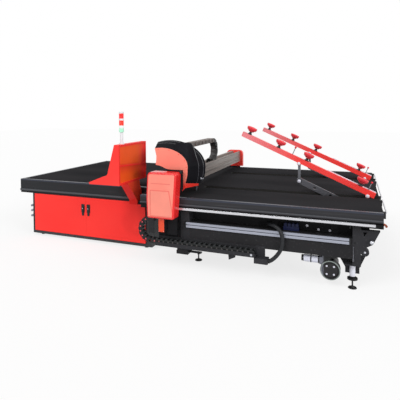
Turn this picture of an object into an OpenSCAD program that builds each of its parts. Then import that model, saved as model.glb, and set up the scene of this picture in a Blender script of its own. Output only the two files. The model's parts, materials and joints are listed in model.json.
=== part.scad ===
/* [Table] */
// Length of the cutting table
table_l = 2700; // [2500:50:3300]
// Width of both tables, front to back
table_w = 2700; // [2500:50:3200]
// Height of the felt above the floor
table_h = 840; // [820:10:900]
// Length of the support table on the left
ext_l = 2320; // [2200:20:2900]
// Set-back of the support table's front edge
ext_setback = 430; // [420:10:520]
// Thickness of the table boards
board_t = 28; // [18:2:40]
// Thickness of the felt
felt_t = 4; // [3:1:8]
// Width of the aluminium edge trim
trim_w = 40; // [25:5:60]
// Height of the edge trim's front leg
trim_h = 20; // [14:1:26]
// Wall of the edge trim
trim_t = 5; // [3:1:8]

/* [Arm slots] */
// Length of each slot from the right end
slot_l = 2140; // [2040:20:2250]
// Width of each slot
slot_w = 150; // [144:2:180]
// Centre of the front slot
slot_y = 745; // [600:5:850]
// Distance between the two slots
slot_pitch = 1265; // [1100:5:1400]

/* [Rail beams] */
// Height of the cutting table's side apron
apron_h = 157; // [150:1:190]
// Depth of each rail beam
beam_t = 100; // [80:5:140]
// Drop of the protruding lip below the felt
lip_drop = 75; // [60:1:85]
// Height of the protruding lip
lip_h = 22; // [15:1:26]
// How far the lip stands proud
lip_d = 12; // [8:1:13]
// Depth of the rail recess behind the front face
recess_d = 10; // [8:1:14]
// Width and height of the guide rail
rail_s = 23; // [20:1:26]
// Drop of the guide rail's centre below the felt
rail_drop = 130; // [124:1:134]
// Height of the support table's side apron
ext_apron_h = 205; // [190:5:230]
// Depth of the support table's side beams
ext_beam_t = 60; // [40:5:100]

/* [Rack drive] */
// Gear module of rack and pinion
gear_m = 5; // [4:0.5:6]
// Teeth on each pinion
gear_n = 20; // [18:1:24]
// Height of the rack, back to tooth tip
rack_h = 22; // [20:1:28]
// Width of rack and pinion
rack_w = 22; // [16:1:28]
// Backlash between rack and pinion
backlash = 0.4; // [0.2:0.1:0.8]

/* [Chassis] */
// Bottom of the lower chord
chord_z = 332; // [300:2:350]
// Height of the lower chord
chord_h = 214; // [160:2:220]
// Set-back of the lower chord
chord_y = 60; // [56:2:80]
// Width of the lower chord
chord_w = 120; // [80:5:140]
// Distance of the chord's left end from the right end of the table
chord_x = 2080; // [2000:10:2120]
// Width of the upright at the left end of the chord
post_w = 110; // [80:5:130]
// Distance of the right leg from the right end of the table
leg_x = 244; // [230:2:300]
// Width of the right leg's post
leg_w = 80; // [60:5:100]
// Diameter of the foot pads
pad_d = 90; // [70:5:120]

/* [Cable duct] */
// Bottom of the duct
duct_z = 485; // [440:5:485]
// Height of the duct
duct_h = 61; // [50:1:61]
// Depth of the duct
duct_d = 20; // [14:1:22]

/* [Cabinet] */
// Length of the control cabinet
cab_l = 2019; // [1800:1:2040]
// Distance of the cabinet's right end from the cutting table
cab_gap = 88; // [60:2:120]
// Depth of the cabinet body
cab_d = 475; // [400:5:560]
// Ground clearance of the cabinet
cab_z = 30; // [20:5:60]
// Sheet and frame thickness of the cabinet
cab_t = 25; // [15:1:30]
// Width of the dark band at the right of the doors
cab_band = 89; // [60:1:120]
// Height of the dark band below the doors
cab_plinth = 50; // [40:5:80]
// Thickness of the doors
door_t = 22; // [18:1:26]

/* [Console] */
// Width of the console
con_w = 670; // [560:10:760]
// Front of the console, measured from the cutting table's front
con_y = -150; // [-170:5:-120]
// Height of the console body
con_h = 494; // [440:2:560]
// Clearance of the console body above the felt
con_z = 118; // [100:2:150]
// Distance of the console's back from the cutting table
con_gap = 200; // [180:5:260]
// Reach of the keyboard shelf
con_reach = 437; // [380:1:480]
// Diameter of the signal tower
tower_d = 60; // [40:2:70]

/* [Gantry] */
// Distance of the gantry beam's left face from the right end of the table
gan_x = 2330; // [2320:5:2345]
// Width of the gantry beam
gan_w = 155; // [150:1:170]
// Height of the gantry beam
gan_h = 179; // [175:1:200]
// Clearance between the felt and the beam
gan_z = 111; // [90:1:130]
// Thickness of the carriage plates
plate_t = 16; // [12:1:18]
// Thickness of the beam's front end plate
endplate_t = 15; // [12:1:18]
// Thickness of the beam's rear end cap
cap_t = 40; // [30:1:50]
// Depth of the front servo cover
cover_d = 155; // [140:5:170]
// Wall of the servo cover
cover_t = 4; // [2:1:6]

/* [Cutting head] */
// Length of the head housing along the beam
head_l = 560; // [540:5:580]
// Distance from the table's front to the housing's front cheek
head_y = 40; // [30:1:50]
// Half width of the housing's front outline
head_w = 340; // [330:1:350]
// Height of the crown above the centre of the housing's front outline
head_r = 216; // [208:1:224]
// Extra half width of the housing at its rear
head_wide = 144; // [120:1:160]
// Extra crown height of the housing at its rear
head_flare = 110; // [90:1:115]
// Wall of the housing
head_t = 8; // [5:1:10]
// Thickness of the front cheek
cheek_t = 6; // [4:1:8]

/* [Cable chains] */
// Width of the long axis chain
xch_w = 70; // [60:2:80]
// Height of the long axis chain
xch_h = 64; // [50:1:70]
// Inside bend radius of the long axis chain
xch_r = 100; // [90:1:110]
// Centre height of the long axis chain's bend
xch_z = 436; // [432:1:440]
// Distance of the long axis chain's bend from the right end
xch_x = 2556; // [2540:1:2580]
// Width of the cross axis chain
ych_w = 100; // [80:2:104]
// Height of the cross axis chain
ych_h = 60; // [50:1:62]
// Inside bend radius of the cross axis chain
ych_r = 118; // [112:1:122]
// Distance of the cross axis chain's bend from the table's front
ych_y = 1295; // [1250:5:1320]

/* [Loader arms] */
// Rest angle of the arms above the table
arm_a = 24; // [20:1:28]
// Length of the arm tubes
arm_l = 1705; // [1600:5:1760]
// Height of the arm tubes
arm_h = 64; // [50:1:70]
// Width of the arm tubes
arm_w = 40; // [30:1:44]
// Wall of the arm tubes
arm_t = 4; // [3:1:6]
// Length of the arms beyond their tail pivot
tail_l = 70; // [60:1:80]
// Lever length between its two pivots
lever_l = 850; // [800:5:900]
// Height of the lever bar
lever_h = 70; // [60:1:76]
// Thickness of the lever bar
lever_t = 25; // [20:1:26]
// Distance between the two pivots of a link
link_l = 220; // [210:1:230]
// Thickness of the link plates
link_t = 12; // [10:1:14]
// Side gap between arm, link and lever
side_gap = 2; // [1:0.5:3]
// Distance of the flip shaft from the right end
flip_x = 125; // [115:1:135]
// Drop of the flip shaft below the felt
flip_drop = 205; // [200:1:215]
// Diameter of the flip shaft
shaft_d = 50; // [40:1:60]
// Diameter of the pivot pins
pin_d = 24; // [20:1:28]
// Running clearance of pins and shafts, on radius
run_gap = 0.05; // [0.03:0.01:0.08]
// Diameter of the suction cups
cup_d = 130; // [110:1:132]

/* [Hidden] */
$fn = 64;

gap = 0.3;
top_t = board_t + felt_t;
lip2_drop = ext_apron_h - 60;
slots = [slot_y, slot_y + slot_pitch];
ext_x0 = -table_l - ext_l;
beam_z0 = table_h - apron_h;
deck_z = table_h - top_t;
rail_y0 = recess_d - rail_s;
rail_z0 = table_h - rail_drop - rail_s / 2;
rail_stop = 72;

bar_x = 30;
rear_d = 92;
x_min = ext_x0 - lip_d;
x_max = bar_x + 6;
y_min = -cover_d;
y_max = table_w + rear_d;
origin = [(x_min + x_max) / 2, (y_min + y_max) / 2, 0];

gx = -gan_x;
gz = table_h + gan_z;
gtop = gz + gan_h;
plate_y = -endplate_t - plate_t;
pitch_r = gear_m * gear_n / 2;
pin_x = gx - 45;
pin_z = beam_z0 + gear_m - pitch_r;
rack_y = recess_d + 10;
rack_z = beam_z0 + rack_h;

chord_x0 = -chord_x - post_w;
chord_top = chord_z + chord_h;
plenum_y = chord_y + 140;
plenum_z = 500;
leg_x0 = -leg_x - leg_w / 2;
foot_y = chord_y + 90;

xch_ro = xch_r + xch_h;
ych_ro = ych_r + ych_h;
ych_z = gtop - 35 + ych_ro;
ych_x0 = gx + 40;
ych_end = 290;
trough = 37;

side_x = gx + gan_w + 24;
cut_y = head_y + 400;

cab_x1 = -table_l - cab_gap;
cab_x0 = cab_x1 - cab_l;
cab_top = table_h - ext_apron_h;
door_y = ext_setback + 1;
cab_y = door_y + door_t + gap;
door_x0 = cab_x0 + 27;
door_x1 = cab_x1 - cab_band;
door_mid = (door_x0 + door_x1) / 2;
door_z0 = cab_z + cab_plinth;
door_z1 = cab_top - 3;

con_x = -table_l - con_gap;
con_z0 = table_h + con_z;
con_top = con_z0 + con_h;
shelf_a = atan(85 / (con_reach - 218));

flip_z = table_h - flip_drop;
link_y = arm_w / 2 + side_gap;
lever_y = link_y + link_t + side_gap;
p_x = -flip_x - lever_l * cos(arm_a);
p_z = flip_z + lever_l * sin(arm_a);
arm_n = 4;
cup_s = [120, 785, 1155, 1555];
cup_n = 37;

module place() {
    translate(-origin) children();
}

module block(a, b) {
    translate(a) cube(b - a);
}

module along_x(x0, x1) {
    translate([x0, 0, 0]) rotate([90, 0, 90]) linear_extrude(x1 - x0) children();
}

module along_y(y0, y1) {
    translate([0, y1, 0]) rotate([90, 0, 0]) linear_extrude(y1 - y0) children();
}

module rod_x(x0, x1, y, z, d) {
    translate([x0, y, z]) rotate([0, 90, 0]) cylinder(h = x1 - x0, d = d);
}

module rod_y(x, y0, y1, z, d) {
    translate([x, y1, z]) rotate([90, 0, 0]) cylinder(h = y1 - y0, d = d);
}

module rod_z(x, y, z0, z1, d) {
    translate([x, y, z0]) cylinder(h = z1 - z0, d = d);
}

module both_sides() {
    children();
    translate([0, table_w, 0]) mirror([0, 1, 0]) children();
}

// Side apron of the cutting table in (y, z): upstand, lip, rail recess and rack groove
module apron_profile() {
    polygon([[0, table_h - trim_h], [trim_t, table_h - trim_h], [trim_t, deck_z],
        [beam_t, deck_z], [beam_t, beam_z0], [rack_y + rack_w + 4, beam_z0],
        [rack_y + rack_w + 4, rack_z], [rack_y - 4, rack_z], [rack_y - 4, beam_z0],
        [recess_d, beam_z0],
        [recess_d, table_h - lip_drop - lip_h], [-lip_d, table_h - lip_drop - lip_h],
        [-lip_d, table_h - lip_drop], [0, table_h - lip_drop]]);
}

// Side apron of the support table, measured from its own front edge
module ext_profile() {
    polygon([[0, table_h - trim_h], [trim_t, table_h - trim_h], [trim_t, deck_z],
        [ext_beam_t, deck_z], [ext_beam_t, cab_top], [5, cab_top],
        [5, table_h - lip2_drop - 30], [-lip_d, table_h - lip2_drop - 30],
        [-lip_d, table_h - lip2_drop], [0, table_h - lip2_drop]]);
}

module trim_profile() {
    polygon([[0, table_h - trim_h], [trim_t, table_h - trim_h], [trim_t, table_h - felt_t],
        [trim_w, table_h - felt_t], [trim_w, table_h], [0, table_h]]);
}

module boards() {
    color("tan") place() {
        block([ext_x0 + trim_t, ext_setback + trim_t, deck_z],
            [-table_l, table_w - trim_t, table_h - felt_t]);
        block([-table_l, trim_t, deck_z], [-slot_l, table_w - trim_t, table_h - felt_t]);
        for (s = [[trim_t, slots[0] - slot_w / 2], [slots[0] + slot_w / 2, slots[1] - slot_w / 2],
            [slots[1] + slot_w / 2, table_w - trim_t]])
            block([-slot_l, s[0], deck_z], [0, s[1], table_h - felt_t]);
    }
}

module felt() {
    color("dimgray") place() difference() {
        union() {
            block([ext_x0 + trim_w, ext_setback + trim_w, table_h - felt_t],
                [-table_l + 1, table_w - trim_w, table_h]);
            block([-table_l, trim_w, table_h - felt_t], [0, table_w - trim_w, table_h]);
        }
        for (y = slots)
            block([-slot_l, y - slot_w / 2, table_h - 2 * felt_t],
                [10, y + slot_w / 2, table_h + 1]);
    }
}

module edge_trim() {
    color("lightsteelblue") place() {
        both_sides() along_x(-table_l, 0) trim_profile();
        translate([0, ext_setback, 0]) along_x(ext_x0, -table_l) trim_profile();
        translate([0, table_w, 0]) mirror([0, 1, 0]) along_x(ext_x0, -table_l) trim_profile();
        translate([ext_x0, 0, 0])
            along_y(ext_setback + trim_w, table_w - trim_w) trim_profile();
    }
}

module rail_beams() {
    color("dimgray") place() both_sides() {
        along_x(-table_l, 0) apron_profile();
        for (x = [[gx - 193, gx - 175], [-rail_stop, 0]])
            block([x[0], rail_y0 - 2, rail_z0 - 8], [x[1], recess_d, rail_z0 + rail_s + 6]);
    }
}

module cross_beams() {
    color("gray") place() {
        for (x = [[-table_l, -table_l + 100], [-slot_l - 100, -slot_l]])
            block([x[0], beam_t, beam_z0], [x[1], table_w - beam_t, deck_z]);
        for (s = [[beam_t, slots[0] - slot_w / 2], [slots[0] + slot_w / 2, slots[1] - slot_w / 2],
            [slots[1] + slot_w / 2, table_w - beam_t]])
            block([-160, s[0], beam_z0], [0, s[1], deck_z]);
        for (y = slots, k = [-1, 1])
            block([-slot_l, y + k * (slot_w / 2 + 25) - 25, beam_z0],
                [-160, y + k * (slot_w / 2 + 25) + 25, deck_z]);
        for (s = [[plenum_y, slots[0] - slot_w / 2 - 15], [slots[0] + slot_w / 2 + 15,
            slots[1] - slot_w / 2 - 15], [slots[1] + slot_w / 2 + 15, table_w - plenum_y]])
            block([20 - chord_x, s[0], plenum_z], [leg_x0 - 125, s[1], beam_z0]);
    }
}

module ext_frame() {
    color("dimgray") place() {
        translate([0, ext_setback, 0]) along_x(ext_x0, -table_l) ext_profile();
        translate([0, table_w, 0]) mirror([0, 1, 0]) along_x(ext_x0, -table_l) ext_profile();
        translate([ext_x0, 0, 0])
            along_y(ext_setback + ext_beam_t, table_w - ext_beam_t) ext_profile();
        for (x = [cab_x0 + 50, ext_x0 + 1200, -table_l - 80])
            block([x, ext_setback + ext_beam_t, deck_z - 100],
                [x + 80, table_w - ext_beam_t, deck_z]);
    }
}

module guide_rails() {
    color("silver") place() both_sides() along_x(gx - 175, -rail_stop)
        translate([rail_y0, rail_z0]) difference() {
            square(rail_s);
            for (z = [0, rail_s])
                translate([rail_s / 2, z]) circle(d = 7);
        }
}

// Straight rack whose tooth gap is centred over the pinion at rest
module rack() {
    pitch = PI * gear_m;
    root = beam_z0 + 2.25 * gear_m;
    half_tip = pitch / 4 - gear_m * tan(20) - backlash / 2;
    half_root = pitch / 4 + 1.25 * gear_m * tan(20) - backlash / 2;
    first = ceil((-table_l - pin_x) / pitch);
    last = floor(-pin_x / pitch) - 1;
    teeth = [for (i = [first:last]) let(x = pin_x + (i + 0.5) * pitch)
        each [[x - half_root, root], [x - half_tip, beam_z0], [x + half_tip, beam_z0],
            [x + half_root, root]]];
    along_y(rack_y, rack_y + rack_w)
        polygon(concat([[-table_l, rack_z], [-table_l, root]], teeth, [[0, root], [0, rack_z]]));
}

module racks() {
    color("silver") place() both_sides() rack();
}

function inv(a) = tan(a) - a * PI / 180;

// Angle between a tooth's centre line and its flank at radius r
function flank(r, rb) = 90 / gear_n - backlash / 4 / pitch_r * 180 / PI
    + (inv(20) - inv(acos(min(1, rb / r)))) * 180 / PI;

module gear_2d() {
    rb = pitch_r * cos(20);
    ra = pitch_r + gear_m;
    rr = pitch_r - 1.25 * gear_m;
    steps = [for (k = [0:4]) rb + (ra - rb) * k / 4];
    side = concat([[rr, flank(rb, rb)]], [for (r = steps) [r, flank(r, rb)]]);
    back = [for (k = [len(side) - 1:-1:0]) [side[k][0], -side[k][1]]];
    polygon([for (i = [0:gear_n - 1], p = concat(side, back))
        let(a = 90 - i * 360 / gear_n + p[1]) [p[0] * cos(a), p[0] * sin(a)]]);
}

module pinion() {
    translate([pin_x, 0, pin_z]) {
        along_y(rack_y, rack_y + rack_w) gear_2d();
        rod_y(0, -60, rack_y, 0, 30);
    }
}

module front_pinion() {
    color("gray") place() pinion();
}

module rear_pinion() {
    color("gray") place() translate([0, table_w, 0]) mirror([0, 1, 0]) pinion();
}

module chords() {
    color("gray") place() {
        both_sides() block([-chord_x, chord_y, chord_z],
            [leg_x0, chord_y + chord_w, chord_top]);
        for (x = [chord_x0, leg_x0 - 120])
            block([x, chord_y + chord_w, chord_top - 120],
                [x + post_w, table_w - chord_y - chord_w, chord_top]);
    }
}

module posts() {
    color("gray") place() {
        both_sides() {
            block([chord_x0, chord_y, 259], [-chord_x, chord_y + chord_w, beam_z0]);
            block([chord_x0 - 140, chord_y + 195, 119], [chord_x0, chord_y + 335, beam_z0]);
            block([leg_x0, chord_y, 272], [leg_x0 + leg_w, chord_y + chord_w, beam_z0]);
            block([leg_x0 - 72, chord_y, 262], [leg_x0 + leg_w, foot_y + 150, 272]);
            block([leg_x0 - 72, foot_y + 29, 144], [leg_x0 + 68, foot_y + 150, 262]);
            along_y(foot_y + 60, foot_y + 70)
                for (k = [[-72, -80], [68, 62]])
                    polygon([[leg_x0 + k[0], 190], [leg_x0 + k[0], chord_z],
                        [leg_x0 + k[0] + k[1], chord_z]]);
            rod_y(leg_x0 + leg_w + 37, chord_y, chord_y + 50, 414, 80);
            along_y(chord_y, chord_y + 50) difference() {
                polygon([[leg_x0 + leg_w, 641], [leg_x0 + 258, 641], [leg_x0 + 191, 501],
                    [leg_x0 + 127, 463], [leg_x0 + leg_w, 430]]);
                polygon([[leg_x0 + leg_w + 18, 620], [leg_x0 + leg_w + 58, 620],
                    [leg_x0 + leg_w + 30, 575]]);
            }
        }
        for (x = [cab_x0 + 50, -table_l - 80], y = [cab_y + cab_d + 40, table_w - 160])
            block([x, y, 60], [x + 80, y + 80, deck_z - 100]);
    }
}

// Levelling foot: pad on the floor, threaded stem and lock nut
module foot(x, y, z1) {
    translate([x, y, 0]) {
        cylinder(h = 8, d1 = pad_d, d2 = pad_d - 8);
        translate([0, 0, 8]) cylinder(h = 14, d1 = 40, d2 = 26);
        translate([0, 0, 22]) cylinder(h = z1 - 22, d = 16);
        translate([0, 0, z1 - 14]) cylinder(h = 14, d = 32, $fn = 6);
    }
}

module levelling_feet() {
    color("darkgray") place() {
        both_sides() {
            rod_z(leg_x0, foot_y, 108, 262, 58);
            rod_z(leg_x0, foot_y, 92, 108, 104);
            foot(leg_x0, foot_y, 92);
            block([chord_x0 - 150, chord_y + 195, 74], [chord_x0 + 4, chord_y + 335, 119]);
            block([chord_x0 + 4, chord_y + 245, 88], [chord_x0 + 159, chord_y + 285, 104]);
            foot(chord_x0 + 120, chord_y + 265, 88);
        }
        for (x = [cab_x0 + 90, -table_l - 40], y = [cab_y + cab_d + 80, table_w - 120])
            foot(x, y, 60);
        for (x = [cab_x0 + 120, cab_x1 - 120], y = [cab_y + 80, cab_y + cab_d - 80])
            rod_z(x, y, 0, cab_z, 60);
    }
}

module chain_tray() {
    base = xch_z - xch_ro - gap;
    color("gray") place() {
        along_x(-2480 + table_l - 2700, -1275)
            polygon([[-50, 259], [chord_y, 259], [chord_y, chord_z + 18],
                [chord_y - 3, chord_z + 18], [chord_y - 3, base], [-47, base], [-47, 304],
                [-50, 304]]);
        along_y(-20, -14)
            polygon([[-1580, 259], [-1575, 190], [-1500, 225], [-1495, 259]]);
        block([-1286, -xch_w / 2, 192], [-1137, chord_y, 250]);
        block([-1286, chord_y - 6, 250], [-1180, chord_y, chord_z + 30]);
    }
}

module cable_duct() {
    color("silver") place() along_x(-chord_x - 40, leg_x0 - 26) {
        y0 = chord_y - duct_d;
        difference() {
            translate([y0, duct_z]) square([duct_d, duct_h]);
            translate([y0 - 1, duct_z + 14]) square([9, duct_h - 28]);
        }
    }
}

module cabinet_carcass() {
    color("black") place() difference() {
        block([cab_x0, cab_y, cab_z], [cab_x1, cab_y + cab_d, cab_top]);
        block([door_x0 + cab_t, cab_y - 1, door_z0 + 20],
            [door_x1 - cab_t, cab_y + cab_d - 20, cab_top - cab_t]);
    }
}

module switchgear() {
    y1 = cab_y + cab_d - 20;
    color("lightgray") place() {
        block([door_x0 + 120, y1 - 6, door_z0 + 60], [door_x1 - 120, y1, door_z1 - 70]);
        for (i = [0:3])
            block([door_x0 + 180 + i * 230, y1 - 170, door_z0 + 150],
                [door_x0 + 330 + i * 230, y1 - 6, door_z0 + 410]);
        for (z = [door_z0 + 170, door_z0 + 350])
            block([door_mid + 160, y1 - 80, z], [door_x1 - 180, y1 - 6, z + 90]);
    }
}

module cable_glands() {
    color("gray") place() for (z = [438, 364, 284]) {
        rod_x(cab_x0 - 14, cab_x0, cab_y + 30, z, 44);
        rod_x(cab_x0 - 34, cab_x0 - 14, cab_y + 30, z, 32);
    }
}

// Flanged steel door with a pan-shaped back
module door(x0, x1) {
    difference() {
        block([x0, door_y, door_z0], [x1, door_y + door_t, door_z1]);
        block([x0 + 20, door_y + 3, door_z0 + 20], [x1 - 20, door_y + door_t + 1, door_z1 - 20]);
    }
}

module door_left() {
    color("red") place() door(door_x0, door_mid - 1);
}

module door_right() {
    color("red") place() door(door_mid + 1, door_x1);
}

// Upright latch handle on its escutcheon
module latch(x) {
    translate([x, 0, 478]) {
        along_y(door_y - 10, door_y - gap) hull() {
            circle(d = 34);
            translate([0, -90]) circle(d = 30);
        }
        rod_y(0, door_y - 14, door_y - 10, 0, 22);
    }
}

module latch_left() {
    color("black") place() latch(door_mid - 48);
}

module latch_right() {
    color("black") place() latch(door_mid + 44);
}

module console_neck() {
    color("dimgray") place() {
        along_x(con_x - 118, con_x)
            polygon([[con_y + 194, con_z0], [con_y + 481, con_z0],
                [ext_setback - lip_d - 3, beam_z0 + 15], [ext_setback - lip_d - 3, cab_top + 5],
                [ext_setback - 160, cab_top + 5], [ext_setback - 160, beam_z0 + 15]]);
        block([con_x, ext_setback - 140, cab_top + 5], [-table_l + 100, ext_setback - 30, beam_z0]);
    }
}

// Console side outline: back, top, screen slope and keyboard shelf
module console_2d() {
    polygon(concat([[con_x, con_z0], [con_x, con_top], [con_x - 67, con_top]],
        [for (t = [0:6]) let(a = t * 15)
            [con_x - 158 - 60 * (1 - cos(a)), con_z0 + 167 - 60 * sin(a)]],
        [[con_x - con_reach, con_z0 + 22], [con_x - con_reach + 7, con_z0]]));
}

module console_shell() {
    color("orangered") place() difference() {
        along_y(con_y, con_y + con_w) console_2d();
        along_x(con_x - 8, con_x + 1)
            polygon([[con_y + 26, con_z0 + 26], [con_y + con_w - 26, con_z0 + 26],
                [con_y + con_w - 26, con_z0 + 185], [con_y + 26, con_z0 + 228]]);
        along_x(con_x - 8, con_x + 1)
            polygon([[con_y + 26, con_z0 + 246], [con_y + con_w - 26, con_z0 + 203],
                [con_y + con_w - 26, con_top - 26], [con_y + 26, con_top - 26]]);
        on_screen() block([-151, -205, -12], [151, 205, 30]);
        on_shelf() block([-62, -225, -8], [62, 225, 30]);
        on_shelf() translate([0, 270, -16]) cylinder(h = 30, d = 22 + 2 * gap);
    }
}

module on_screen() {
    translate([con_x - 112.5, con_y + con_w / 2, con_z0 + (con_h + 167) / 2])
        rotate([0, atan(91 / (con_h - 167)) - 90, 0]) children();
}

module on_shelf() {
    translate([con_x - con_reach + 110, con_y + con_w / 2, con_z0 + 22 + 110 * tan(shelf_a)])
        rotate([0, -shelf_a, 0]) children();
}

module console_screen() {
    color("black") place() on_screen() difference() {
        block([-150, -204, gap - 12], [150, 204, 6]);
        block([-132, -184, 3], [132, 184, 10]);
    }
}

module console_keyboard() {
    color("gray") place() on_shelf() {
        block([-61, -224, -8], [61, 224, 2]);
        for (i = [0:4], j = [0:13])
            translate([-52 + i * 21, -216 + j * 31, 2]) cube([17, 27, 4]);
    }
}

module estop_button() {
    color("red") place() on_shelf() translate([0, 270, 0]) {
        translate([0, 0, -10]) cylinder(h = 18, d = 22);
        translate([0, 0, 8]) cylinder(h = 16, d = 40);
    }
}

module tower_ring(z0, z1, d) {
    rod_z(con_x - 34, con_y + 120, con_top + z0, con_top + z1, d);
}

module tower_body() {
    color("white") place() {
        tower_ring(0, 12, tower_d + 4);
        tower_ring(12, 149, tower_d - 22);
        tower_ring(292, 315, tower_d);
        tower_ring(377, 398, tower_d);
    }
}

module tower_lens_red() {
    color("red") place() tower_ring(315, 377, tower_d - 2);
}

module tower_lens_amber() {
    color("orangered") place() tower_ring(230, 292, tower_d - 2);
}

module tower_lens_green() {
    color("seagreen") place() {
        tower_ring(149, 168, tower_d);
        tower_ring(168, 230, tower_d - 2);
    }
}

module blower() {
    x = leg_x0 - 217;
    z = 174;
    color("darkgray") place() {
        difference() {
            union() {
                rod_y(x, chord_y + 30, chord_y + 120, z, 200);
                block([x - 110, chord_y + 40, z + 50], [x, chord_y + 110, z + 128]);
            }
            rod_y(x, chord_y + 29, chord_y + 42, z, 164);
        }
        rod_y(x, chord_y + 34, chord_y + 42, z, 150);
        rod_y(x, chord_y + 120, chord_y + 330, z, 150);
        rod_y(x, chord_y + 330, chord_y + 360, z, 130);
        block([x - 82, chord_y + 40, z + 128], [x + 65, chord_y + 110, chord_z]);
        rod_x(x - 272, x - 110, chord_y + 75, z + 89, 76);
        rod_x(x - 297, x - 272, chord_y + 75, z + 89, 66);
    }
}

// Bent hose along a few chosen centre points, swept as rings
hose_pts = [[-1165, 200, 590], [-1165, 176, 590], [-1150, 130, 596], [-1112, 78, 602],
    [-1062, 36, 600], [-1018, 14, 572], [-992, 6, 520], [-983, 3, 462], [-989, 2, 402],
    [-1010, 2, 345], [-1045, 2, 292], [-1085, 2, 250], [-1118, 2, 227], [-1137, 2, 224]];

function unit(v) = v / norm(v);

function tangent(k) = k == 0 ? [0, -1, 0] : k == len(hose_pts) - 1 ? [-1, 0, 0]
    : unit(hose_pts[k + 1] - hose_pts[k - 1]);

module blower_hose() {
    n = 12;
    rings = [for (k = [0:len(hose_pts) - 1])
        let(t = tangent(k), a = unit(cross(t, [1, 1.6, -0.6])), b = cross(t, a))
        for (j = [0:n - 1])
            hose_pts[k] + 22 * (cos(j * 360 / n) * a + sin(j * 360 / n) * b)];
    last = (len(hose_pts) - 1) * n;
    color("black") place() translate([0, chord_y - 60, 0]) polyhedron(rings,
        concat([[for (j = [0:n - 1]) j]], [[for (j = [n - 1:-1:0]) last + j]],
            [for (k = [0:len(hose_pts) - 2], j = [0:n - 1]) [k * n + j, (k + 1) * n + j,
                (k + 1) * n + (j + 1) % n, k * n + (j + 1) % n]]));
}

module valve_block() {
    color("steelblue") place() {
        block([-993, chord_y + 60, chord_top], [-825, chord_y + 110, chord_top + 40]);
        for (i = [0:3]) {
            block([-986 + i * 41, chord_y + 64, chord_top + 40],
                [-954 + i * 41, chord_y + 106, chord_top + 74]);
            rod_z(-970 + i * 41, chord_y + 85, chord_top + 74, chord_top + 82, 14);
        }
    }
}

module shaft_supports() {
    color("black") place() for (y = slots, k = [-1, 1])
        along_y(y + k * (slot_w / 2 + 35) - 20, y + k * (slot_w / 2 + 35) + 20) difference() {
            union() {
                translate([-flip_x - 45, flip_z]) square([90, beam_z0 - flip_z]);
                translate([-flip_x, flip_z]) circle(d = 90);
            }
            translate([-flip_x, flip_z]) circle(r = shaft_d / 2 + run_gap);
        }
}

module edge_bar() {
    color("white") place() {
        for (s = [[60, slots[0] - slot_w / 2 - 8], [slots[0] + slot_w / 2 + 8,
            slots[1] - slot_w / 2 - 8], [slots[1] + slot_w / 2 + 8, table_w - 60]])
            block([bar_x - 6, s[0], table_h - 17], [bar_x + 6, s[1], table_h]);
        for (y = [70, slots[0] - slot_w / 2 - 50, slots[0] + slot_w / 2 + 20,
            slots[1] - slot_w / 2 - 50, slots[1] + slot_w / 2 + 20, table_w - 100])
            block([0, y, table_h - 70], [bar_x - 6, y + 30, table_h - 2]);
    }
}

// Cross section of an energy chain lying along the extrusion, walls all round
module chain_2d(w, h) {
    difference() {
        square([w, h]);
        translate([6, 6]) square([w - 12, h - 12]);
    }
}

// Straight run of chain links: tube with a seam between the links
module chain_run_x(x0, x1, z0) {
    n = floor((x1 - x0) / 66);
    pitch = (x1 - x0) / n;
    difference() {
        along_x(x0, x1) translate([-xch_w / 2, z0]) chain_2d(xch_w, xch_h);
        for (i = [1:n - 1], k = [-1, 1])
            block([x0 + i * pitch - 3, k * xch_w / 2 - 2, z0 + 8],
                [x0 + i * pitch + 3, k * xch_w / 2 + 2, z0 + xch_h - 8]);
    }
}

module chain_bend(w, h, r, a0) {
    n = 9;
    difference() {
        rotate([0, 0, a0]) rotate_extrude(angle = 180)
            translate([r, -w / 2]) difference() {
                square([h, w]);
                translate([6, 6]) square([h - 12, w - 12]);
            }
        for (i = [1:n - 1], k = [-1, 1])
            rotate([0, 0, a0 + i * 180 / n])
                translate([r + 8, -3, k * w / 2 - 2]) cube([h - 16, 6, 4]);
    }
}

module x_chain_run() {
    color("dimgray") place() chain_run_x(-xch_x, -1290, xch_z - xch_ro);
}

module x_chain_bend() {
    color("dimgray") place() translate([-xch_x, 0, xch_z]) rotate([90, 0, 0])
        chain_bend(xch_w, xch_h, xch_r, 90);
}

module gantry_beam() {
    color("darkkhaki") place() along_y(0, table_w - cap_t) difference() {
        translate([gx, gz]) square([gan_w, gan_h]);
        translate([gx + 35, gtop - trough]) square([ych_w + 10, trough + 1]);
        translate([gx + 20, gz + 20]) square([gan_w - 40, 45]);
        translate([gx + 20, gz + 75]) square([gan_w - 40, 50]);
        for (z = [35, 95], k = [0, gan_w - 6])
            translate([gx + k - 1, gz + z - 5]) square([8, 10]);
    }
}

module beam_end_cap() {
    color("red") place() along_y(table_w - cap_t, table_w + endplate_t) hull() {
        translate([gx - 90, gz - 88]) square([295, 40]);
        translate([gx - 20, gtop - 53]) circle(r = 70, $fn = 32);
        translate([gx + gan_w - 20, gtop - 53]) circle(r = 70, $fn = 32);
    }
}

module beam_rails() {
    color("silver") place() for (z = [gz + 62, gz + 148])
        along_y(20, table_w - cap_t - 20) difference() {
            translate([gx + gan_w, z - 9]) square([11.7, 18]);
            for (k = [-9, 9])
                translate([gx + gan_w + 6, z + k]) circle(d = 5);
        }
}

// Bearing block that hugs the guide rail from outside
module rail_block(x) {
    along_x(x, x + 80) difference() {
        translate([-endplate_t, rail_z0 - 14]) square([rail_s - 4, rail_s + 28]);
        translate([rail_y0 - gap, rail_z0 - gap]) square([rail_s, rail_s + 2 * gap]);
    }
}

module gantry_carriages() {
    color("dimgray") place() {
        along_y(-endplate_t, 0) translate([gx, gz - 16]) square([gan_w + 45, gan_h + 51]);
        both_sides() carriage();
    }
}

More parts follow.
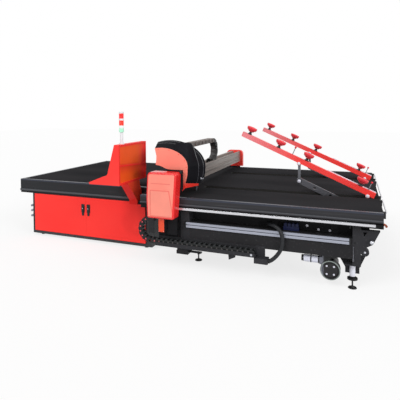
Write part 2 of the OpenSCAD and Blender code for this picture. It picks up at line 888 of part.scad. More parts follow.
module carriage() {
    along_y(plate_y, -endplate_t) difference() {
        polygon([[gx - 170, 645], [gx + 6, 645], [gx + 6, 402], [gx + 128, 402],
            [gx + 128, 645], [gx + 130, 645], [gx + 150, gz + 60],
            [gx + 150, gtop - 10], [gx - 80, gtop - 10], [gx - 170, gz]]);
        translate([pin_x - 48 - gap, pin_z - 50]) square([96 + 2 * gap, 95]);
    }
    rail_block(gx - 160);
    rail_block(gx + 40);
}

module drive_motors() {
    color("black") place() both_sides() {
        difference() {
            block([pin_x - 48, -92, pin_z - 45], [pin_x + 48, 4, pin_z + 45]);
            rod_y(pin_x, -61, 5, pin_z, 30 + 2 * run_gap);
        }
        block([pin_x - 42, -86, pin_z - 200], [pin_x + 42, -2, pin_z - 45]);
    }
}

// Outline of the front servo cover, shrunk inward by e
module cover_2d(e) {
    hull() {
        translate([gx - 121 + 50, gtop + 17 - 50]) circle(r = 50 - e);
        translate([gx + 179 - 20, gtop + 17 - 20]) circle(r = 20 - e);
        translate([gx + 142 - 16, 608 + 16]) circle(r = 16 - e);
        translate([gx - 190 + 16, 608 + 16]) circle(r = 16 - e);
        translate([gx - 212 + 40, table_h + 35]) circle(r = 40 - e);
        translate([gx - 195 + 40, gtop - 55]) circle(r = 40 - e);
    }
}

module servo_cover() {
    color("red") place() difference() {
        union() {
            along_y(-cover_d + 8, -endplate_t) cover_2d(0);
            along_y(-cover_d, -cover_d + 8) cover_2d(12);
        }
        along_y(-cover_d + 8 + cover_t, -endplate_t + 1) cover_2d(cover_t);
        for (z = [gz + 63, gz - 31])
            block([gx - 300, -cover_d - 1, z], [gx + 300, -cover_d + 3, z + 6]);
        block([pin_x - 60, -cover_d + 12, 600], [gx + 131, -endplate_t + 1, 620]);
    }
}

module chain_bracket() {
    top = xch_z + xch_ro;
    color("darkgray") place() {
        block([gx - 240, -xch_w / 2 - 4, xch_z - 36], [gx - 164, -xch_w / 2, top + 5]);
        block([gx - 226, -xch_w / 2, xch_z + xch_r], [gx - 170, xch_w / 2, top]);
        block([gx - 226, -endplate_t, top], [gx - 100, 5 - endplate_t, rail_z0 - 20]);
    }
}

module y_chain_run() {
    color("dimgray") place() along_y(ych_y - 60, ych_y)
        translate([ych_x0, ych_z - ych_ro]) chain_2d(ych_w, ych_h);
}

module y_chain_bend() {
    color("dimgray") place() translate([ych_x0 + ych_w / 2, ych_y, ych_z])
        rotate([90, 0, 90]) chain_bend(ych_w, ych_h, ych_r, -90);
}

module y_chain_top() {
    n = floor((ych_y - ych_end) / 66);
    pitch = (ych_y - ych_end) / n;
    color("dimgray") place() difference() {
        along_y(ych_end, ych_y) translate([ych_x0, ych_z + ych_r]) chain_2d(ych_w, ych_h);
        for (i = [1:n - 1], x = [ych_x0, ych_x0 + ych_w])
            block([x - 2, ych_end + i * pitch - 3, ych_z + ych_r + 8],
                [x + 2, ych_end + i * pitch + 3, ych_z + ych_ro - 8]);
    }
}

// Housing outline at station v along the head, shrunk inward by e: crown, corner and side
function head_pts(v, e, zb) = let(cx = gx - 100 - 130 * v, cz = gtop + 69 - 64 * v,
        rx = head_w + head_wide * v - e, rz = head_r + head_flare * v - e,
        a0 = acos((gx - 187 - 243 * v - cx) / rx))
    concat([for (i = [0:14]) let(a = a0 * (1 - i / 14)) [cx + rx * cos(a), cz + rz * sin(a)]],
        [[cx + rx - 4, cz - 95], [cx + rx - 14 - 8 * v, cz - 140 - 29 * v],
            [cx + rx - 29 - 42 * pow(v, 8), zb]]);

// Lower edge of the housing's side, falling to the rear
function hem(v) = gtop - 120 - 100 * v;

module head_shell() {
    stations = [0, 0.18, 0.36, 0.54, 0.72, 0.86, 0.94, 1];
    y0 = head_y + cheek_t;
    rings = [for (v = stations) let(o = head_pts(v, 0, hem(v)), i = head_pts(v, head_t, hem(v)))
        [for (p = concat(o, [for (k = [len(i) - 1:-1:0]) i[k]]))
            [p[0], y0 + v * (head_l - cheek_t), p[1]]]];
    n = len(rings[0]);
    m = len(rings) - 1;
    x1 = ych_x0 + ych_w;
    top = ych_z + ych_ro;
    color("black") place() difference() {
        union() {
            polyhedron([for (r = rings, p = r) p],
                concat([for (k = [0:m - 1], j = [0:n - 1]) each
                    [[k * n + j, (k + 1) * n + j, (k + 1) * n + (j + 1) % n],
                        [k * n + j, (k + 1) * n + (j + 1) % n, k * n + (j + 1) % n]]],
                    [for (j = [0:n / 2 - 2]) each
                        [[j, j + 1, n - 1 - j], [j + 1, n - 2 - j, n - 1 - j]]],
                    [for (j = [0:n / 2 - 2]) let(b = m * n) each
                        [[b + j, b + n - 1 - j, b + j + 1],
                            [b + j + 1, b + n - 1 - j, b + n - 2 - j]]]));
            hull() {
                along_y(ych_end - 44, head_y + head_l)
                    polygon([[ych_x0 - 14, gtop + 250], [ych_x0 - 14, top + 5],
                        [ych_x0 - 7, top + 12], [x1 + 7, top + 12], [x1 + 14, top + 5],
                        [x1 + 72, gtop + 140], [x1 + 65, gtop + 130]]);
                along_y(ych_end - 160, ych_end - 158)
                    polygon([[ych_x0 - 40, gtop + 270], [ych_x0 - 40, gtop + 275],
                        [x1 + 25, gtop + 204], [x1 + 25, gtop + 197]]);
            }
        }
        block([ych_x0 - 8, ych_end - 50, gtop + 100], [x1 + 8, head_y + head_l + 10, top + 5]);
    }
}

module head_cheek() {
    color("salmon") place() {
        along_y(head_y, head_y + cheek_t) polygon(concat(head_pts(0, 0, gtop - 120),
            [[gx + 202, gtop - 190], [gx + gan_w + 14, gtop - 222], [gx + gan_w + 14, gtop],
                [gx + gan_w + 2, gtop + 27], [gx + 19, gtop + 27], [gx - 52, gtop + 40],
                [gx - 102, gtop + 64], [gx - 178, gtop + 80], [gx - 168, gtop + 128],
                [gx - 166, gtop + 187]]));
        hull() {
            translate([gx + 190, head_y + cheek_t, gtop - 185]) cube([6, 2, 60]);
            translate([gx + 214, head_y + 398, gtop - 220]) cube([6, 2, 24]);
        }
    }
}

module head_carriage() {
    x0 = gx + gan_w;
    y0 = head_y + cheek_t;
    color("dimgray") place() {
        block([side_x - 12, y0, gz - 10], [side_x, head_y + head_l - 20, gtop + 60]);
        for (y = [y0 + 60, head_y + head_l - 160], z = [gz + 62, gz + 148])
            along_y(y, y + 90) difference() {
                translate([x0 + 2, z - 16]) square([side_x - 12 - x0 - 2, 32]);
                translate([x0 + 1, z - 9 - gap]) square([10.7 + gap, 18 + 2 * gap]);
            }
        block([gx - 110, y0, gtop + 66], [side_x - 12, ych_end - 50, gtop + 78]);
        block([side_x - 12, y0, gtop + 60], [side_x, ych_end - 50, gtop + 78]);
        block([ych_x0, ych_end - 50, gtop + 66],
            [ych_x0 + ych_w, ych_end, ych_z + ych_ro]);
        difference() {
            block([side_x, cut_y - 40, gz + 20], [side_x + 30, cut_y + 40, gz + 109]);
            rod_z(side_x + 15, cut_y, gz, gz + 110, 20 + 2 * run_gap);
        }
    }
}

module cutter_slide() {
    color("silver") place() {
        rod_z(side_x + 15, cut_y, gz - 30, gz + 100, 20);
        rod_z(side_x + 15, cut_y, gz - 46, gz - 30, 30);
    }
}

// Swivelling wheel holder with a fork for the cutting wheel
module cutter_holder() {
    z = table_h + 6;
    color("gray") place() translate([side_x + 15, cut_y, 0]) {
        rod_z(0, 0, z + 12, gz - 46 - gap, 22);
        for (k = [-1, 1])
            block([-5, k * 5 - 2, z - 4], [5, k * 5 + 2, z + 12]);
        rod_y(0, -3, 3, z, 3);
    }
}

module cutting_wheel() {
    color("silver") place() difference() {
        rod_y(side_x + 15, cut_y - 2, cut_y + 2, table_h + 6, 10);
        rod_y(side_x + 15, cut_y - 3, cut_y + 3, table_h + 6, 3 + 2 * run_gap);
    }
}

module on_arms(z) {
    for (y = slots)
        translate([-flip_x, y, z]) rotate([0, arm_a, 0]) children();
}

module lift_levers() {
    color("gray") place() {
        difference() {
            on_arms(flip_z) along_y(lever_y, lever_y + lever_t) difference() {
                union() {
                    translate([-lever_l, -lever_h / 2]) square([lever_l, lever_h]);
                    circle(d = 96);
                    translate([-lever_l, 0]) circle(d = lever_h);
                }
                for (x = [-250, -450, -650])
                    translate([x, 0]) circle(d = 34);
            }
            rod_y(-flip_x, 0, table_w, flip_z, shaft_d - 2);
        }
        rod_y(-flip_x, slots[0] - slot_w / 2 - 60, slots[1] + slot_w / 2 + 60, flip_z, shaft_d);
        for (y = slots)
            rod_y(p_x, y + link_y - 10, y + lever_y + 1, p_z, pin_d);
        for (y = slots)
            rod_y(p_x, y + link_y - 10, y + link_y - gap, p_z, pin_d + 8);
    }
}

// Link plate with two eyes
module link_2d(d0, d1, e0, e1) {
    difference() {
        union() {
            circle(d = e0);
            translate([0, link_l]) circle(d = e1);
            translate([-16, 0]) square([32, link_l]);
        }
        circle(d = d0);
        translate([0, link_l]) circle(d = d1);
    }
}

module mid_links() {
    d = pin_d + 2 * run_gap;
    color("silver") place() for (y = slots)
        translate([p_x, 0, p_z]) along_y(y + link_y, y + link_y + link_t) link_2d(d, d, 54, 54);
}

module end_links() {
    color("silver") place() for (y = slots)
        translate([-flip_x, 0, flip_z]) along_y(y + link_y, y + link_y + link_t)
            link_2d(shaft_d + 2 * run_gap, pin_d + 2 * gap, shaft_d + 34, 54);
}

module suction_arms() {
    color("whitesmoke") place() on_arms(flip_z + link_l) {
        difference() {
            union() {
                block([tail_l - arm_l, -arm_w / 2, arm_n],
                    [tail_l, arm_w / 2, arm_n + arm_h]);
                for (s = [0, lever_l])
                    rod_y(-s, -arm_w / 2, arm_w / 2, 0, 48);
            }
            block([tail_l - arm_l - 1, -arm_w / 2 + arm_t, arm_n + arm_t + 22],
                [tail_l + 1, arm_w / 2 - arm_t, arm_n + arm_h - arm_t]);
        }
        for (s = [0, lever_l])
            rod_y(-s, arm_w / 2 - 1, link_y + link_t + 1, 0, pin_d);
        for (s = [0, lever_l])
            rod_y(-s, -arm_w / 2 - 6, -arm_w / 2, 0, 36);
        for (s = cup_s)
            translate([-s, 0, arm_n + arm_h]) cylinder(h = cup_n, d1 = 44, d2 = 26);
    }
}

// Bell cups with a shallow dish, face up
module suction_cups() {
    color("crimson") place() on_arms(flip_z + link_l) for (s = cup_s)
        translate([-s, 0, arm_n + arm_h + cup_n]) rotate_extrude()
            polygon([[0, 0], [36, 0], [cup_d / 2 - 5, 38], [cup_d / 2, 44], [cup_d / 2, 55],
                [cup_d / 2 - 4, 55], [cup_d / 2 - 10, 52], [0, 52]]);
}

// Thin height sensors with ball tips: [arm, distance along it]
module sensor_rods() {
    color("silver") place() for (r = [[0, 966], [0, 20], [1, 20]])
        translate([-flip_x, slots[r[0]], flip_z + link_l]) rotate([0, arm_a, 0])
            translate([-r[1], 0, arm_n + arm_h]) {
                cylinder(h = 85, d = 10);
                translate([0, 0, 93]) sphere(d = 26);
            }
}

boards();
felt();
edge_trim();
rail_beams();
cross_beams();
ext_frame();
guide_rails();
racks();
chords();
posts();
levelling_feet();
chain_tray();
cable_duct();
cabinet_carcass();
switchgear();
cable_glands();
door_left();
door_right();
latch_left();
latch_right();
console_neck();
console_shell();
console_screen();
console_keyboard();
estop_button();
tower_body();
tower_lens_red();
tower_lens_amber();
tower_lens_green();
blower();
blower_hose();
valve_block();
shaft_supports();
edge_bar();
x_chain_run();
x_chain_bend();
gantry_beam();
beam_end_cap();
beam_rails();
gantry_carriages();
drive_motors();
servo_cover();
chain_bracket();
front_pinion();
rear_pinion();
y_chain_run();
y_chain_bend();
y_chain_top();
head_carriage();
head_cheek();
head_shell();
cutter_slide();
cutter_holder();
lift_levers();
mid_links();
end_links();
suction_arms();
suction_cups();
sensor_rods();
cutting_wheel();
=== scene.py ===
"""Looks of a flat-bed glass cutting machine: finishes, small pieces, chains, hood and studio.

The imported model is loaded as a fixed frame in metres. Every size below is in millimetres and is
counted from the front right corner of the cutting table at floor level: x to the right, y away
from the front, z up. Layout turns such points into the frame's own metres.
"""

import json
import logging
import math
from dataclasses import dataclass, field, replace
from enum import Enum

import bmesh
import bpy
import numpy as np
from mathutils import Matrix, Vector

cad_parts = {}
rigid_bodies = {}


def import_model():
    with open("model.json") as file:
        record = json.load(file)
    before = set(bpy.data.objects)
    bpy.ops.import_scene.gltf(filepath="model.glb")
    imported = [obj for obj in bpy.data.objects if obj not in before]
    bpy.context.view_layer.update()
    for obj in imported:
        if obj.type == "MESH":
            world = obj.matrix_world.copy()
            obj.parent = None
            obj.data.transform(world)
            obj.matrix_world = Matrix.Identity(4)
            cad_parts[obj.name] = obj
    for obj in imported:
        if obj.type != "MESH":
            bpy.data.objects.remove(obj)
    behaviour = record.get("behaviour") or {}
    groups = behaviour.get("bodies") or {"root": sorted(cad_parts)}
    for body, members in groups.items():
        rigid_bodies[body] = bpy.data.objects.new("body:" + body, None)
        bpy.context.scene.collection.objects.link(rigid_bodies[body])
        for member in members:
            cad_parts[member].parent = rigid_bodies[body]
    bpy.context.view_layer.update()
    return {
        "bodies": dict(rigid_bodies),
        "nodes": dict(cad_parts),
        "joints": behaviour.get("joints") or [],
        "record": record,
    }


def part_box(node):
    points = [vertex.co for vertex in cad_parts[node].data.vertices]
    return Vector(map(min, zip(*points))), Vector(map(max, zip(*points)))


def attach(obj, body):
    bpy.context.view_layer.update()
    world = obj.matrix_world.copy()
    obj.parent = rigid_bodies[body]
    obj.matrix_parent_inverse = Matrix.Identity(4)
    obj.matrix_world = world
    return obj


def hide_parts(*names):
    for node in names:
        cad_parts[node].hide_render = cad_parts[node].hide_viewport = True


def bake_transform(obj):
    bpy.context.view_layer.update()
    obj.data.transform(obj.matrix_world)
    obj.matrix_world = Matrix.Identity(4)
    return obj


LOG = logging.getLogger("glass_cutter")

Array = np.ndarray
Vec3 = tuple[float, float, float]
Colour = tuple[float, float, float]
Profile = list[tuple[float, float]] | np.ndarray

RIGHT, LEFT = (1.0, 0.0, 0.0), (-1.0, 0.0, 0.0)
BACK, FRONT = (0.0, 1.0, 0.0), (0.0, -1.0, 0.0)
UP, DOWN = (0.0, 0.0, 1.0), (0.0, 0.0, -1.0)

SEAM = 2e-6          # points closer than this, in metres, are one
CREASE = 38.0        # degrees above which an edge stays sharp
BORDER = 0.4         # usual width of a colour border, in millimetres
CLOUDS = (0.3, 0.7)  # noise from which to which the second tone takes over
SPECKS = 34.0        # how much finer the specks of wear are than the clouds
SHADE = 0.86         # a zone's second tone, as a part of its first
COAT_ROUGH = 0.08
LENS_BANDS = 42.0    # ribs on a lens


def srgb(red: int, green: int, blue: int) -> Colour:
    """Turns a screen colour of 0 to 255 into the linear colour that shaders use.

    Args:
        red: Red level.
        green: Green level.
        blue: Blue level.

    Returns:
        The linear colour, each part from 0 to 1.
    """
    parts = np.array([red, green, blue]) / 255.0
    linear = np.where(parts <= 0.04045, parts / 12.92, ((parts + 0.055) / 1.055) ** 2.4)
    return tuple(float(part) for part in linear)


class Layout:
    """Places millimetres counted from the table's front right corner in the frame's metres."""

    def __init__(self) -> None:
        """Reads the corner's place from the boxes of the felt and of the edge trim."""
        self.zero = np.array([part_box("felt")[1].x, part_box("edge_trim")[0].y, 0.0])

    def metres(self, points: Array) -> Array:
        """Gives layout points in the frame's metres.

        Args:
            points: Points in millimetres, in any array shape that ends in 3.

        Returns:
            The same points in metres.
        """
        return np.asarray(points, dtype=float) / 1000.0 + self.zero

    def point(self, x: float, y: float, z: float) -> Vec3:
        """Gives one layout point in the frame's metres."""
        return tuple(float(part) for part in self.metres(np.array([x, y, z])))


class Grain(Enum):
    """Kinds of fine surface relief."""

    POWDER = "powder coat"
    GLOSS = "polished shell"
    FELT = "needled felt"
    BRUSHED = "brushed metal"
    CAST = "cast or moulded"
    RIBBED = "ribbed lens"


@dataclass(frozen=True)
class Relief:
    """A fine relief made by noise; a stretch of None takes the finish's own."""

    scale: float
    detail: float
    strength: float
    depth: float
    stretch: Vec3 | None = (1.0, 1.0, 1.0)


RELIEFS = {Grain.POWDER: Relief(420.0, 3.0, 0.3, 0.0004),
           Grain.GLOSS: Relief(38.0, 2.0, 0.12, 0.0008),
           Grain.FELT: Relief(520.0, 5.0, 0.7, 0.0012, (1.0, 0.35, 1.0)),
           Grain.BRUSHED: Relief(900.0, 3.0, 0.25, 0.0003, None),
           Grain.CAST: Relief(260.0, 4.0, 0.45, 0.0007)}


@dataclass(frozen=True)
class Edge:
    """A soft border across a surface, where direction . point goes from start to end."""

    direction: Vec3
    start: float
    end: float
    on_normal: bool = False


@dataclass(frozen=True)
class Zone:
    """A part of a surface, inside all of its borders, that has a colour of its own."""

    edges: tuple[Edge, ...]
    colour: Colour
    rough: float | None = None
    metal: float | None = None


def add_node(tree: bpy.types.NodeTree, kind: str, inputs: dict | None = None,
             **options: str) -> bpy.types.Node:
    """Adds a shader node to a tree, with its options set and its inputs fed.

    Args:
        tree: The node tree.
        kind: The node's kind, without the words ShaderNode.
        inputs: For each input's number or name, a plain value or another node's output.
        options: The node's own options.

    Returns:
        The node.
    """
    node = tree.nodes.new("ShaderNode" + kind)
    for name, choice in options.items():
        setattr(node, name, choice)
    for place, value in (inputs or {}).items():
        feed(tree, node.inputs[place], value)
    return node


def feed(tree: bpy.types.NodeTree, target: bpy.types.NodeSocket, value: object) -> None:
    """Gives a socket a plain value or another socket's output.

    Args:
        tree: The node tree.
        target: The input socket.
        value: A number, a tuple, or an output socket.
    """
    if isinstance(value, bpy.types.NodeSocket):
        tree.links.new(value, target)
    else:
        target.default_value = value


class Graph:
    """A short way to write one material's nodes."""

    def __init__(self, name: str) -> None:
        """Starts a material with a shader, its output and the coordinates.

        Args:
            name: The material's name.
        """
        self.material = bpy.data.materials.new(name)
        self.material.use_nodes = True
        self.tree = self.material.node_tree
        self.tree.nodes.clear()
        self.shader = self.add("BsdfPrincipled")
        self.add("OutputMaterial", {0: self.shader.outputs[0]})
        self.coords = self.add("TexCoord").outputs

    def add(self, kind: str, inputs: dict | None = None, **options: str) -> bpy.types.Node:
        """Adds a node to this material."""
        return add_node(self.tree, kind, inputs, **options)

    def scaled(self, stretch: Vec3) -> bpy.types.NodeSocket:
        """Gives the object's own coordinates, multiplied by stretch along each axis."""
        inputs = {"Vector": self.coords["Object"], "Scale": stretch}
        return self.add("Mapping", inputs).outputs[0]

    def noise(self, scale: float, detail: float, stretch: Vec3 = (1.0, 1.0, 1.0)
              ) -> bpy.types.NodeSocket:
        """Gives smooth random values from 0 to 1.

        Args:
            scale: Blotches to a metre.
            detail: Layers of finer blotches.
            stretch: How much closer the blotches lie along each axis.

        Returns:
            The values.
        """
        return self.add("TexNoise", {"Vector": self.scaled(stretch), "Scale": scale,
                                     "Detail": detail}).outputs[0]

    def calc(self, kind: str, first: object, second: object) -> bpy.types.NodeSocket:
        """Gives the result of one sum on two values."""
        return self.add("Math", {0: first, 1: second}, operation=kind).outputs[0]

    def span(self, value: bpy.types.NodeSocket, low: float, high: float, to_low: float = 0.0,
             to_high: float = 1.0) -> bpy.types.NodeSocket:
        """Carries a value from one range to another, held at both ends."""
        places = {0: value, 1: low, 2: high, 3: to_low, 4: to_high}
        return self.add("MapRange", places).outputs[0]

    def blend(self, amount: object, first: object, second: object) -> bpy.types.NodeSocket:
        """Mixes two colours.

        Args:
            amount: How much of the second colour, from 0 to 1.
            first: A colour or a colour socket.
            second: A colour or a colour socket.

        Returns:
            The mixed colour.
        """
        one, two = ((*c, 1.0) if isinstance(c, tuple) else c for c in (first, second))
        return self.add("Mix", {0: amount, 6: one, 7: two}, data_type="RGBA").outputs[2]

    def along(self, edge: Edge) -> bpy.types.NodeSocket:
        """Gives 0 before an edge and 1 after it, by direction . point or direction . normal.

        Args:
            edge: The border.

        Returns:
            A value that goes from 0 to 1 across the border.
        """
        source = self.coords["Normal" if edge.on_normal else "Object"]
        node = self.add("VectorMath", {0: source, 1: edge.direction}, operation="DOT_PRODUCT")
        return self.span(node.outputs["Value"], edge.start, edge.end)

    def relief(self, height: bpy.types.NodeSocket, strength: float, depth: float) -> None:
        """Raises the surface's normal by a height map, depth metres from 0 to 1."""
        bump = self.add("Bump", {"Strength": strength, "Distance": depth, "Height": height})
        self.tree.links.new(bump.outputs[0], self.shader.inputs["Normal"])


@dataclass(frozen=True)
class Finish:
    """One surface finish: colours, gloss, relief, wear and the zones that differ."""

    name: str
    colour: Colour
    second: Colour
    rough: float = 0.42
    metal: float = 0.0
    coat: float = 0.0
    sheen: float = 0.0
    spec: float = 0.3
    glow: float = 0.0
    cloud: float = 2.2
    grain: Grain = Grain.POWDER
    stretch: Vec3 = (1.0, 1.0, 1.0)
    wear: float = 0.12
    wear_colour: Colour = (0.42, 0.42, 0.43)
    zones: tuple[Zone, ...] = field(default_factory=tuple)

    def material(self) -> bpy.types.Material:
        """Builds the node material.

        The colour is two tones mixed by soft clouds, with fine specks of wear; each zone then
        lays its own colour, gloss and metal over it. The roughness follows the clouds.

        Returns:
            The material.
        """
        graph = Graph(self.name)
        clouds = graph.noise(self.cloud, 4.0, self.stretch)
        tone = graph.blend(graph.span(clouds, *CLOUDS), self.colour, self.second)
        specks = graph.noise(self.cloud * SPECKS, 6.0, self.stretch)
        scuffs = graph.calc("MULTIPLY", graph.span(specks, 0.6, 0.82), self.wear)
        tone = graph.blend(scuffs, tone, self.wear_colour)
        rough = graph.span(specks, 0.25, 0.75, self.rough * 0.85, min(1.0, self.rough * 1.2))
        metal: object = self.metal
        for zone in self.zones:
            mask = graph.along(zone.edges[0])
            for edge in zone.edges[1:]:
                mask = graph.calc("MULTIPLY", mask, graph.along(edge))
            dark = tuple(part * SHADE for part in zone.colour)
            own = graph.blend(graph.span(clouds, *CLOUDS), zone.colour, dark)
            tone = graph.blend(mask, tone, own)
            if zone.rough is not None:
                rough = self._towards(graph, rough, zone.rough, mask)
            if zone.metal is not None:
                metal = self._towards(graph, metal, zone.metal, mask)
        sockets = {"Base Color": tone, "Roughness": rough, "Metallic": metal,
                   "Coat Weight": self.coat, "Coat Roughness": COAT_ROUGH,
                   "Specular IOR Level": self.spec, "Sheen Weight": self.sheen}
        if self.glow > 0.0:
            sockets.update({"Emission Color": tone, "Emission Strength": self.glow})
        for name, value in sockets.items():
            feed(graph.tree, graph.shader.inputs[name], value)
        self._relief(graph)
        return graph.material

    @staticmethod
    def _towards(graph: Graph, value: object, target: float, mask: bpy.types.NodeSocket
                 ) -> bpy.types.NodeSocket:
        """Mixes a value towards a number: value + mask times (target - value)."""
        step = graph.calc("SUBTRACT", target, value)
        return graph.calc("ADD", graph.calc("MULTIPLY", step, mask), value)

    def _relief(self, graph: Graph) -> None:
        """Adds this grain's fine relief: bands round a lens, or else noise.

        Args:
            graph: The material's nodes.
        """
        if self.grain is Grain.RIBBED:
            wave = graph.add("TexWave", {"Scale": LENS_BANDS,
                                         "Vector": graph.scaled((1.0, 1.0, 1.0))},
                             bands_direction="Z")
            graph.relief(wave.outputs["Fac"], 0.8, 0.002)
            return
        kind = RELIEFS[self.grain]
        lumps = graph.noise(kind.scale, kind.detail, kind.stretch or self.stretch)
        graph.relief(lumps, kind.strength, kind.depth)


class Shapes:
    """Surfaces worked out as whole arrays: grids of points, rows by columns."""

    @staticmethod
    def round_rect(width: float, height: float, radius: float, steps: int = 4) -> Array:
        """Walks once round a rectangle with round corners.

        Each corner's arc is its centre plus radius times (cos a, sin a) over a quarter turn.

        Args:
            width: Whole width.
            height: Whole height.
            radius: Corner radius.
            steps: Pieces in each arc.

        Returns:
            The closed outline, whose last point repeats the first.
        """
        turn = np.radians(np.linspace(0.0, 90.0, steps + 1))
        angle = (turn[None, :] + np.radians([[0.0], [90.0], [180.0], [270.0]])).ravel()
        corner = np.repeat([[1, 1], [-1, 1], [-1, -1], [1, -1]], steps + 1, axis=0)
        inner = np.array([width / 2 - radius, height / 2 - radius])
        outline = corner * inner + radius * np.stack([np.cos(angle), np.sin(angle)], axis=1)
        return np.vstack([outline, outline[:1]])

    @staticmethod
    def stadium(length: float, height: float, steps: int = 8) -> Array:
        """Walks once round a slot-shaped outline with two half round ends.

        Args:
            length: Whole length, with both ends.
            height: Height, and so twice the ends' radius.
            steps: Pieces in each end.

        Returns:
            The closed outline, whose last point repeats the first.
        """
        turn = np.linspace(-np.pi / 2, np.pi / 2, steps + 1)
        angle = np.concatenate([turn, turn + np.pi])
        side = np.repeat([1.0, -1.0], steps + 1) * (length - height) / 2
        half = height / 2
        outline = np.stack([side + half * np.cos(angle), half * np.sin(angle)], axis=1)
        return np.vstack([outline, outline[:1]])

    @staticmethod
    def inset(outline: Array, depth: float) -> Array:
        """Shrinks a closed outline: each point moves inwards along its own normal.

        Args:
            outline: The closed outline, anticlockwise.
            depth: How far each point moves.

        Returns:
            The smaller outline.
        """
        ring = outline[:-1]
        along = np.roll(ring, -1, axis=0) - np.roll(ring, 1, axis=0)
        along /= np.maximum(np.linalg.norm(along, axis=1, keepdims=True), 1e-9)
        inner = ring + depth * np.stack([-along[:, 1], along[:, 0]], axis=1)
        return np.vstack([inner, inner[:1]])

    @classmethod
    def plate(cls, outline: Array, depth: float, fillet: float, steps: int = 3) -> Array:
        """Makes a plate with rounded rims from its outline.

        At angle a the rim's ring is the outline shrunk by fillet times (1 - sin a), at the
        height fillet times (1 - cos a) from its face; both faces close on the middle point.

        Args:
            outline: The closed outline in (u, v).
            depth: Thickness along w.
            fillet: Radius of the rims.
            steps: Pieces in each rim.

        Returns:
            A grid of (u, v, w) points.
        """
        turn = np.linspace(0.0, np.pi / 2, steps + 1)
        shrink = fillet * (1 - np.sin(turn))
        rise = fillet * (1 - np.cos(turn))
        flat = np.stack([cls.inset(outline, by) for by in [*shrink, *shrink[::-1]]])
        level = np.concatenate([rise, depth - rise[::-1]])[:, None, None]
        level = np.broadcast_to(level, (*flat.shape[:2], 1))
        return cls.closed(np.concatenate([flat, level], axis=2))

    @staticmethod
    def closed(grid: Array) -> Array:
        """Closes a tube's two ends on the middle points of its first and last rings.

        Args:
            grid: The tube's rings.

        Returns:
            The grid with one ring more at each end, shrunk to a point.
        """
        first = np.broadcast_to(grid[0].mean(axis=0), grid[0].shape)
        last = np.broadcast_to(grid[-1].mean(axis=0), grid[-1].shape)
        return np.concatenate([first[None], grid, last[None]], axis=0)

    @staticmethod
    def turned(profile: Array, steps: int = 20) -> Array:
        """Turns a profile of (radius, height) once round the w axis.

        A point at angle a is (r cos a, r sin a, h).

        Args:
            profile: The profile from one end of the axis to the other.
            steps: Pieces in a turn.

        Returns:
            A grid of (u, v, w) points.
        """
        angle = np.linspace(0.0, 2 * np.pi, steps + 1)
        radius, height = profile[:, 0, None], profile[:, 1, None]
        return np.stack([radius * np.cos(angle), radius * np.sin(angle),
                         np.broadcast_to(height, (len(profile), steps + 1))], axis=2)

    @staticmethod
    def swept(path: Array, outline: Array, up: Vec3) -> Array:
        """Carries an outline along a path.

        At each path point the outline's u runs along tangent x up, and its v along
        side x tangent.

        Args:
            path: Points of the path.
            outline: The outline in (u, v).
            up: A direction that is never along the path.

        Returns:
            A grid with one ring for each path point.
        """
        tangent = np.gradient(path, axis=0)
        tangent /= np.linalg.norm(tangent, axis=1, keepdims=True)
        side = np.cross(tangent, np.asarray(up, dtype=float))
        side /= np.linalg.norm(side, axis=1, keepdims=True)
        rise = np.cross(side, tangent)
        return (path[:, None] + outline[None, :, :1] * side[:, None]
                + outline[None, :, 1:] * rise[:, None])

    @staticmethod
    def reach(path: Array) -> Array:
        """Gives how far along a line of points each point is."""
        steps = np.linalg.norm(np.diff(path, axis=0), axis=1)
        return np.concatenate([[0.0], np.cumsum(steps)])

    @staticmethod
    def smooth_path(points: Array, count: int) -> Array:
        """Runs a smooth curve through points (Catmull-Rom), evenly in the points' order.

        Args:
            points: The points to pass through.
            count: How many points to give back.

        Returns:
            The curve's points.
        """
        padded = np.vstack([2 * points[0] - points[1], points, 2 * points[-1] - points[-2]])
        place = np.linspace(0.0, len(points) - 1.0, count)
        start = np.minimum(place.astype(int), len(points) - 2)
        t = (place - start)[:, None]
        a, b, c, d = (padded[start + shift] for shift in range(4))
        return 0.5 * (2 * b + (c - a) * t + (2 * a - 5 * b + 4 * c - d) * t ** 2
                      + (3 * b - a - 3 * c + d) * t ** 3)

    @staticmethod
    def placed(grid: Array, origins: Array, u: Array, v: Array, w: Array) -> Array:
        """Puts copies of a grid at origins, its axes along u, v and w.

        Args:
            grid: Points (u, v, w) of one shape.
            origins: One origin for each copy, or a single one.
            u: Direction of u, one for all or one for each copy.
            v: Direction of v.
            w: Direction of w.

        Returns:
            A stack of grids, one for each copy.
        """
        origins = np.atleast_2d(np.asarray(origins, dtype=float))
        frames = [np.broadcast_to(np.atleast_2d(np.asarray(a, dtype=float)), origins.shape)
                  for a in (u, v, w)]
        turned = sum(grid[None, ..., k, None] * frames[k][:, None, None] for k in range(3))
        return turned + origins[:, None, None]

    @classmethod
    def facing(cls, grid: Array, origins: Array, towards: Vec3) -> Array:
        """Puts copies of a grid at origins, its w axis along a direction.

        Args:
            grid: Points (u, v, w) of one shape.
            origins: One origin for each copy, or a single one.
            towards: The direction; u is level, unless w is nearly upright.

        Returns:
            A stack of grids, one for each copy.
        """
        w = np.asarray(towards, dtype=float)
        w = w / np.linalg.norm(w)
        spare = np.array([0.0, 0.0, 1.0]) if abs(w[2]) < 0.9 else np.array([1.0, 0.0, 0.0])
        u = np.cross(spare, w)
        u /= np.linalg.norm(u)
        return cls.placed(grid, origins, u, np.cross(w, u), w)

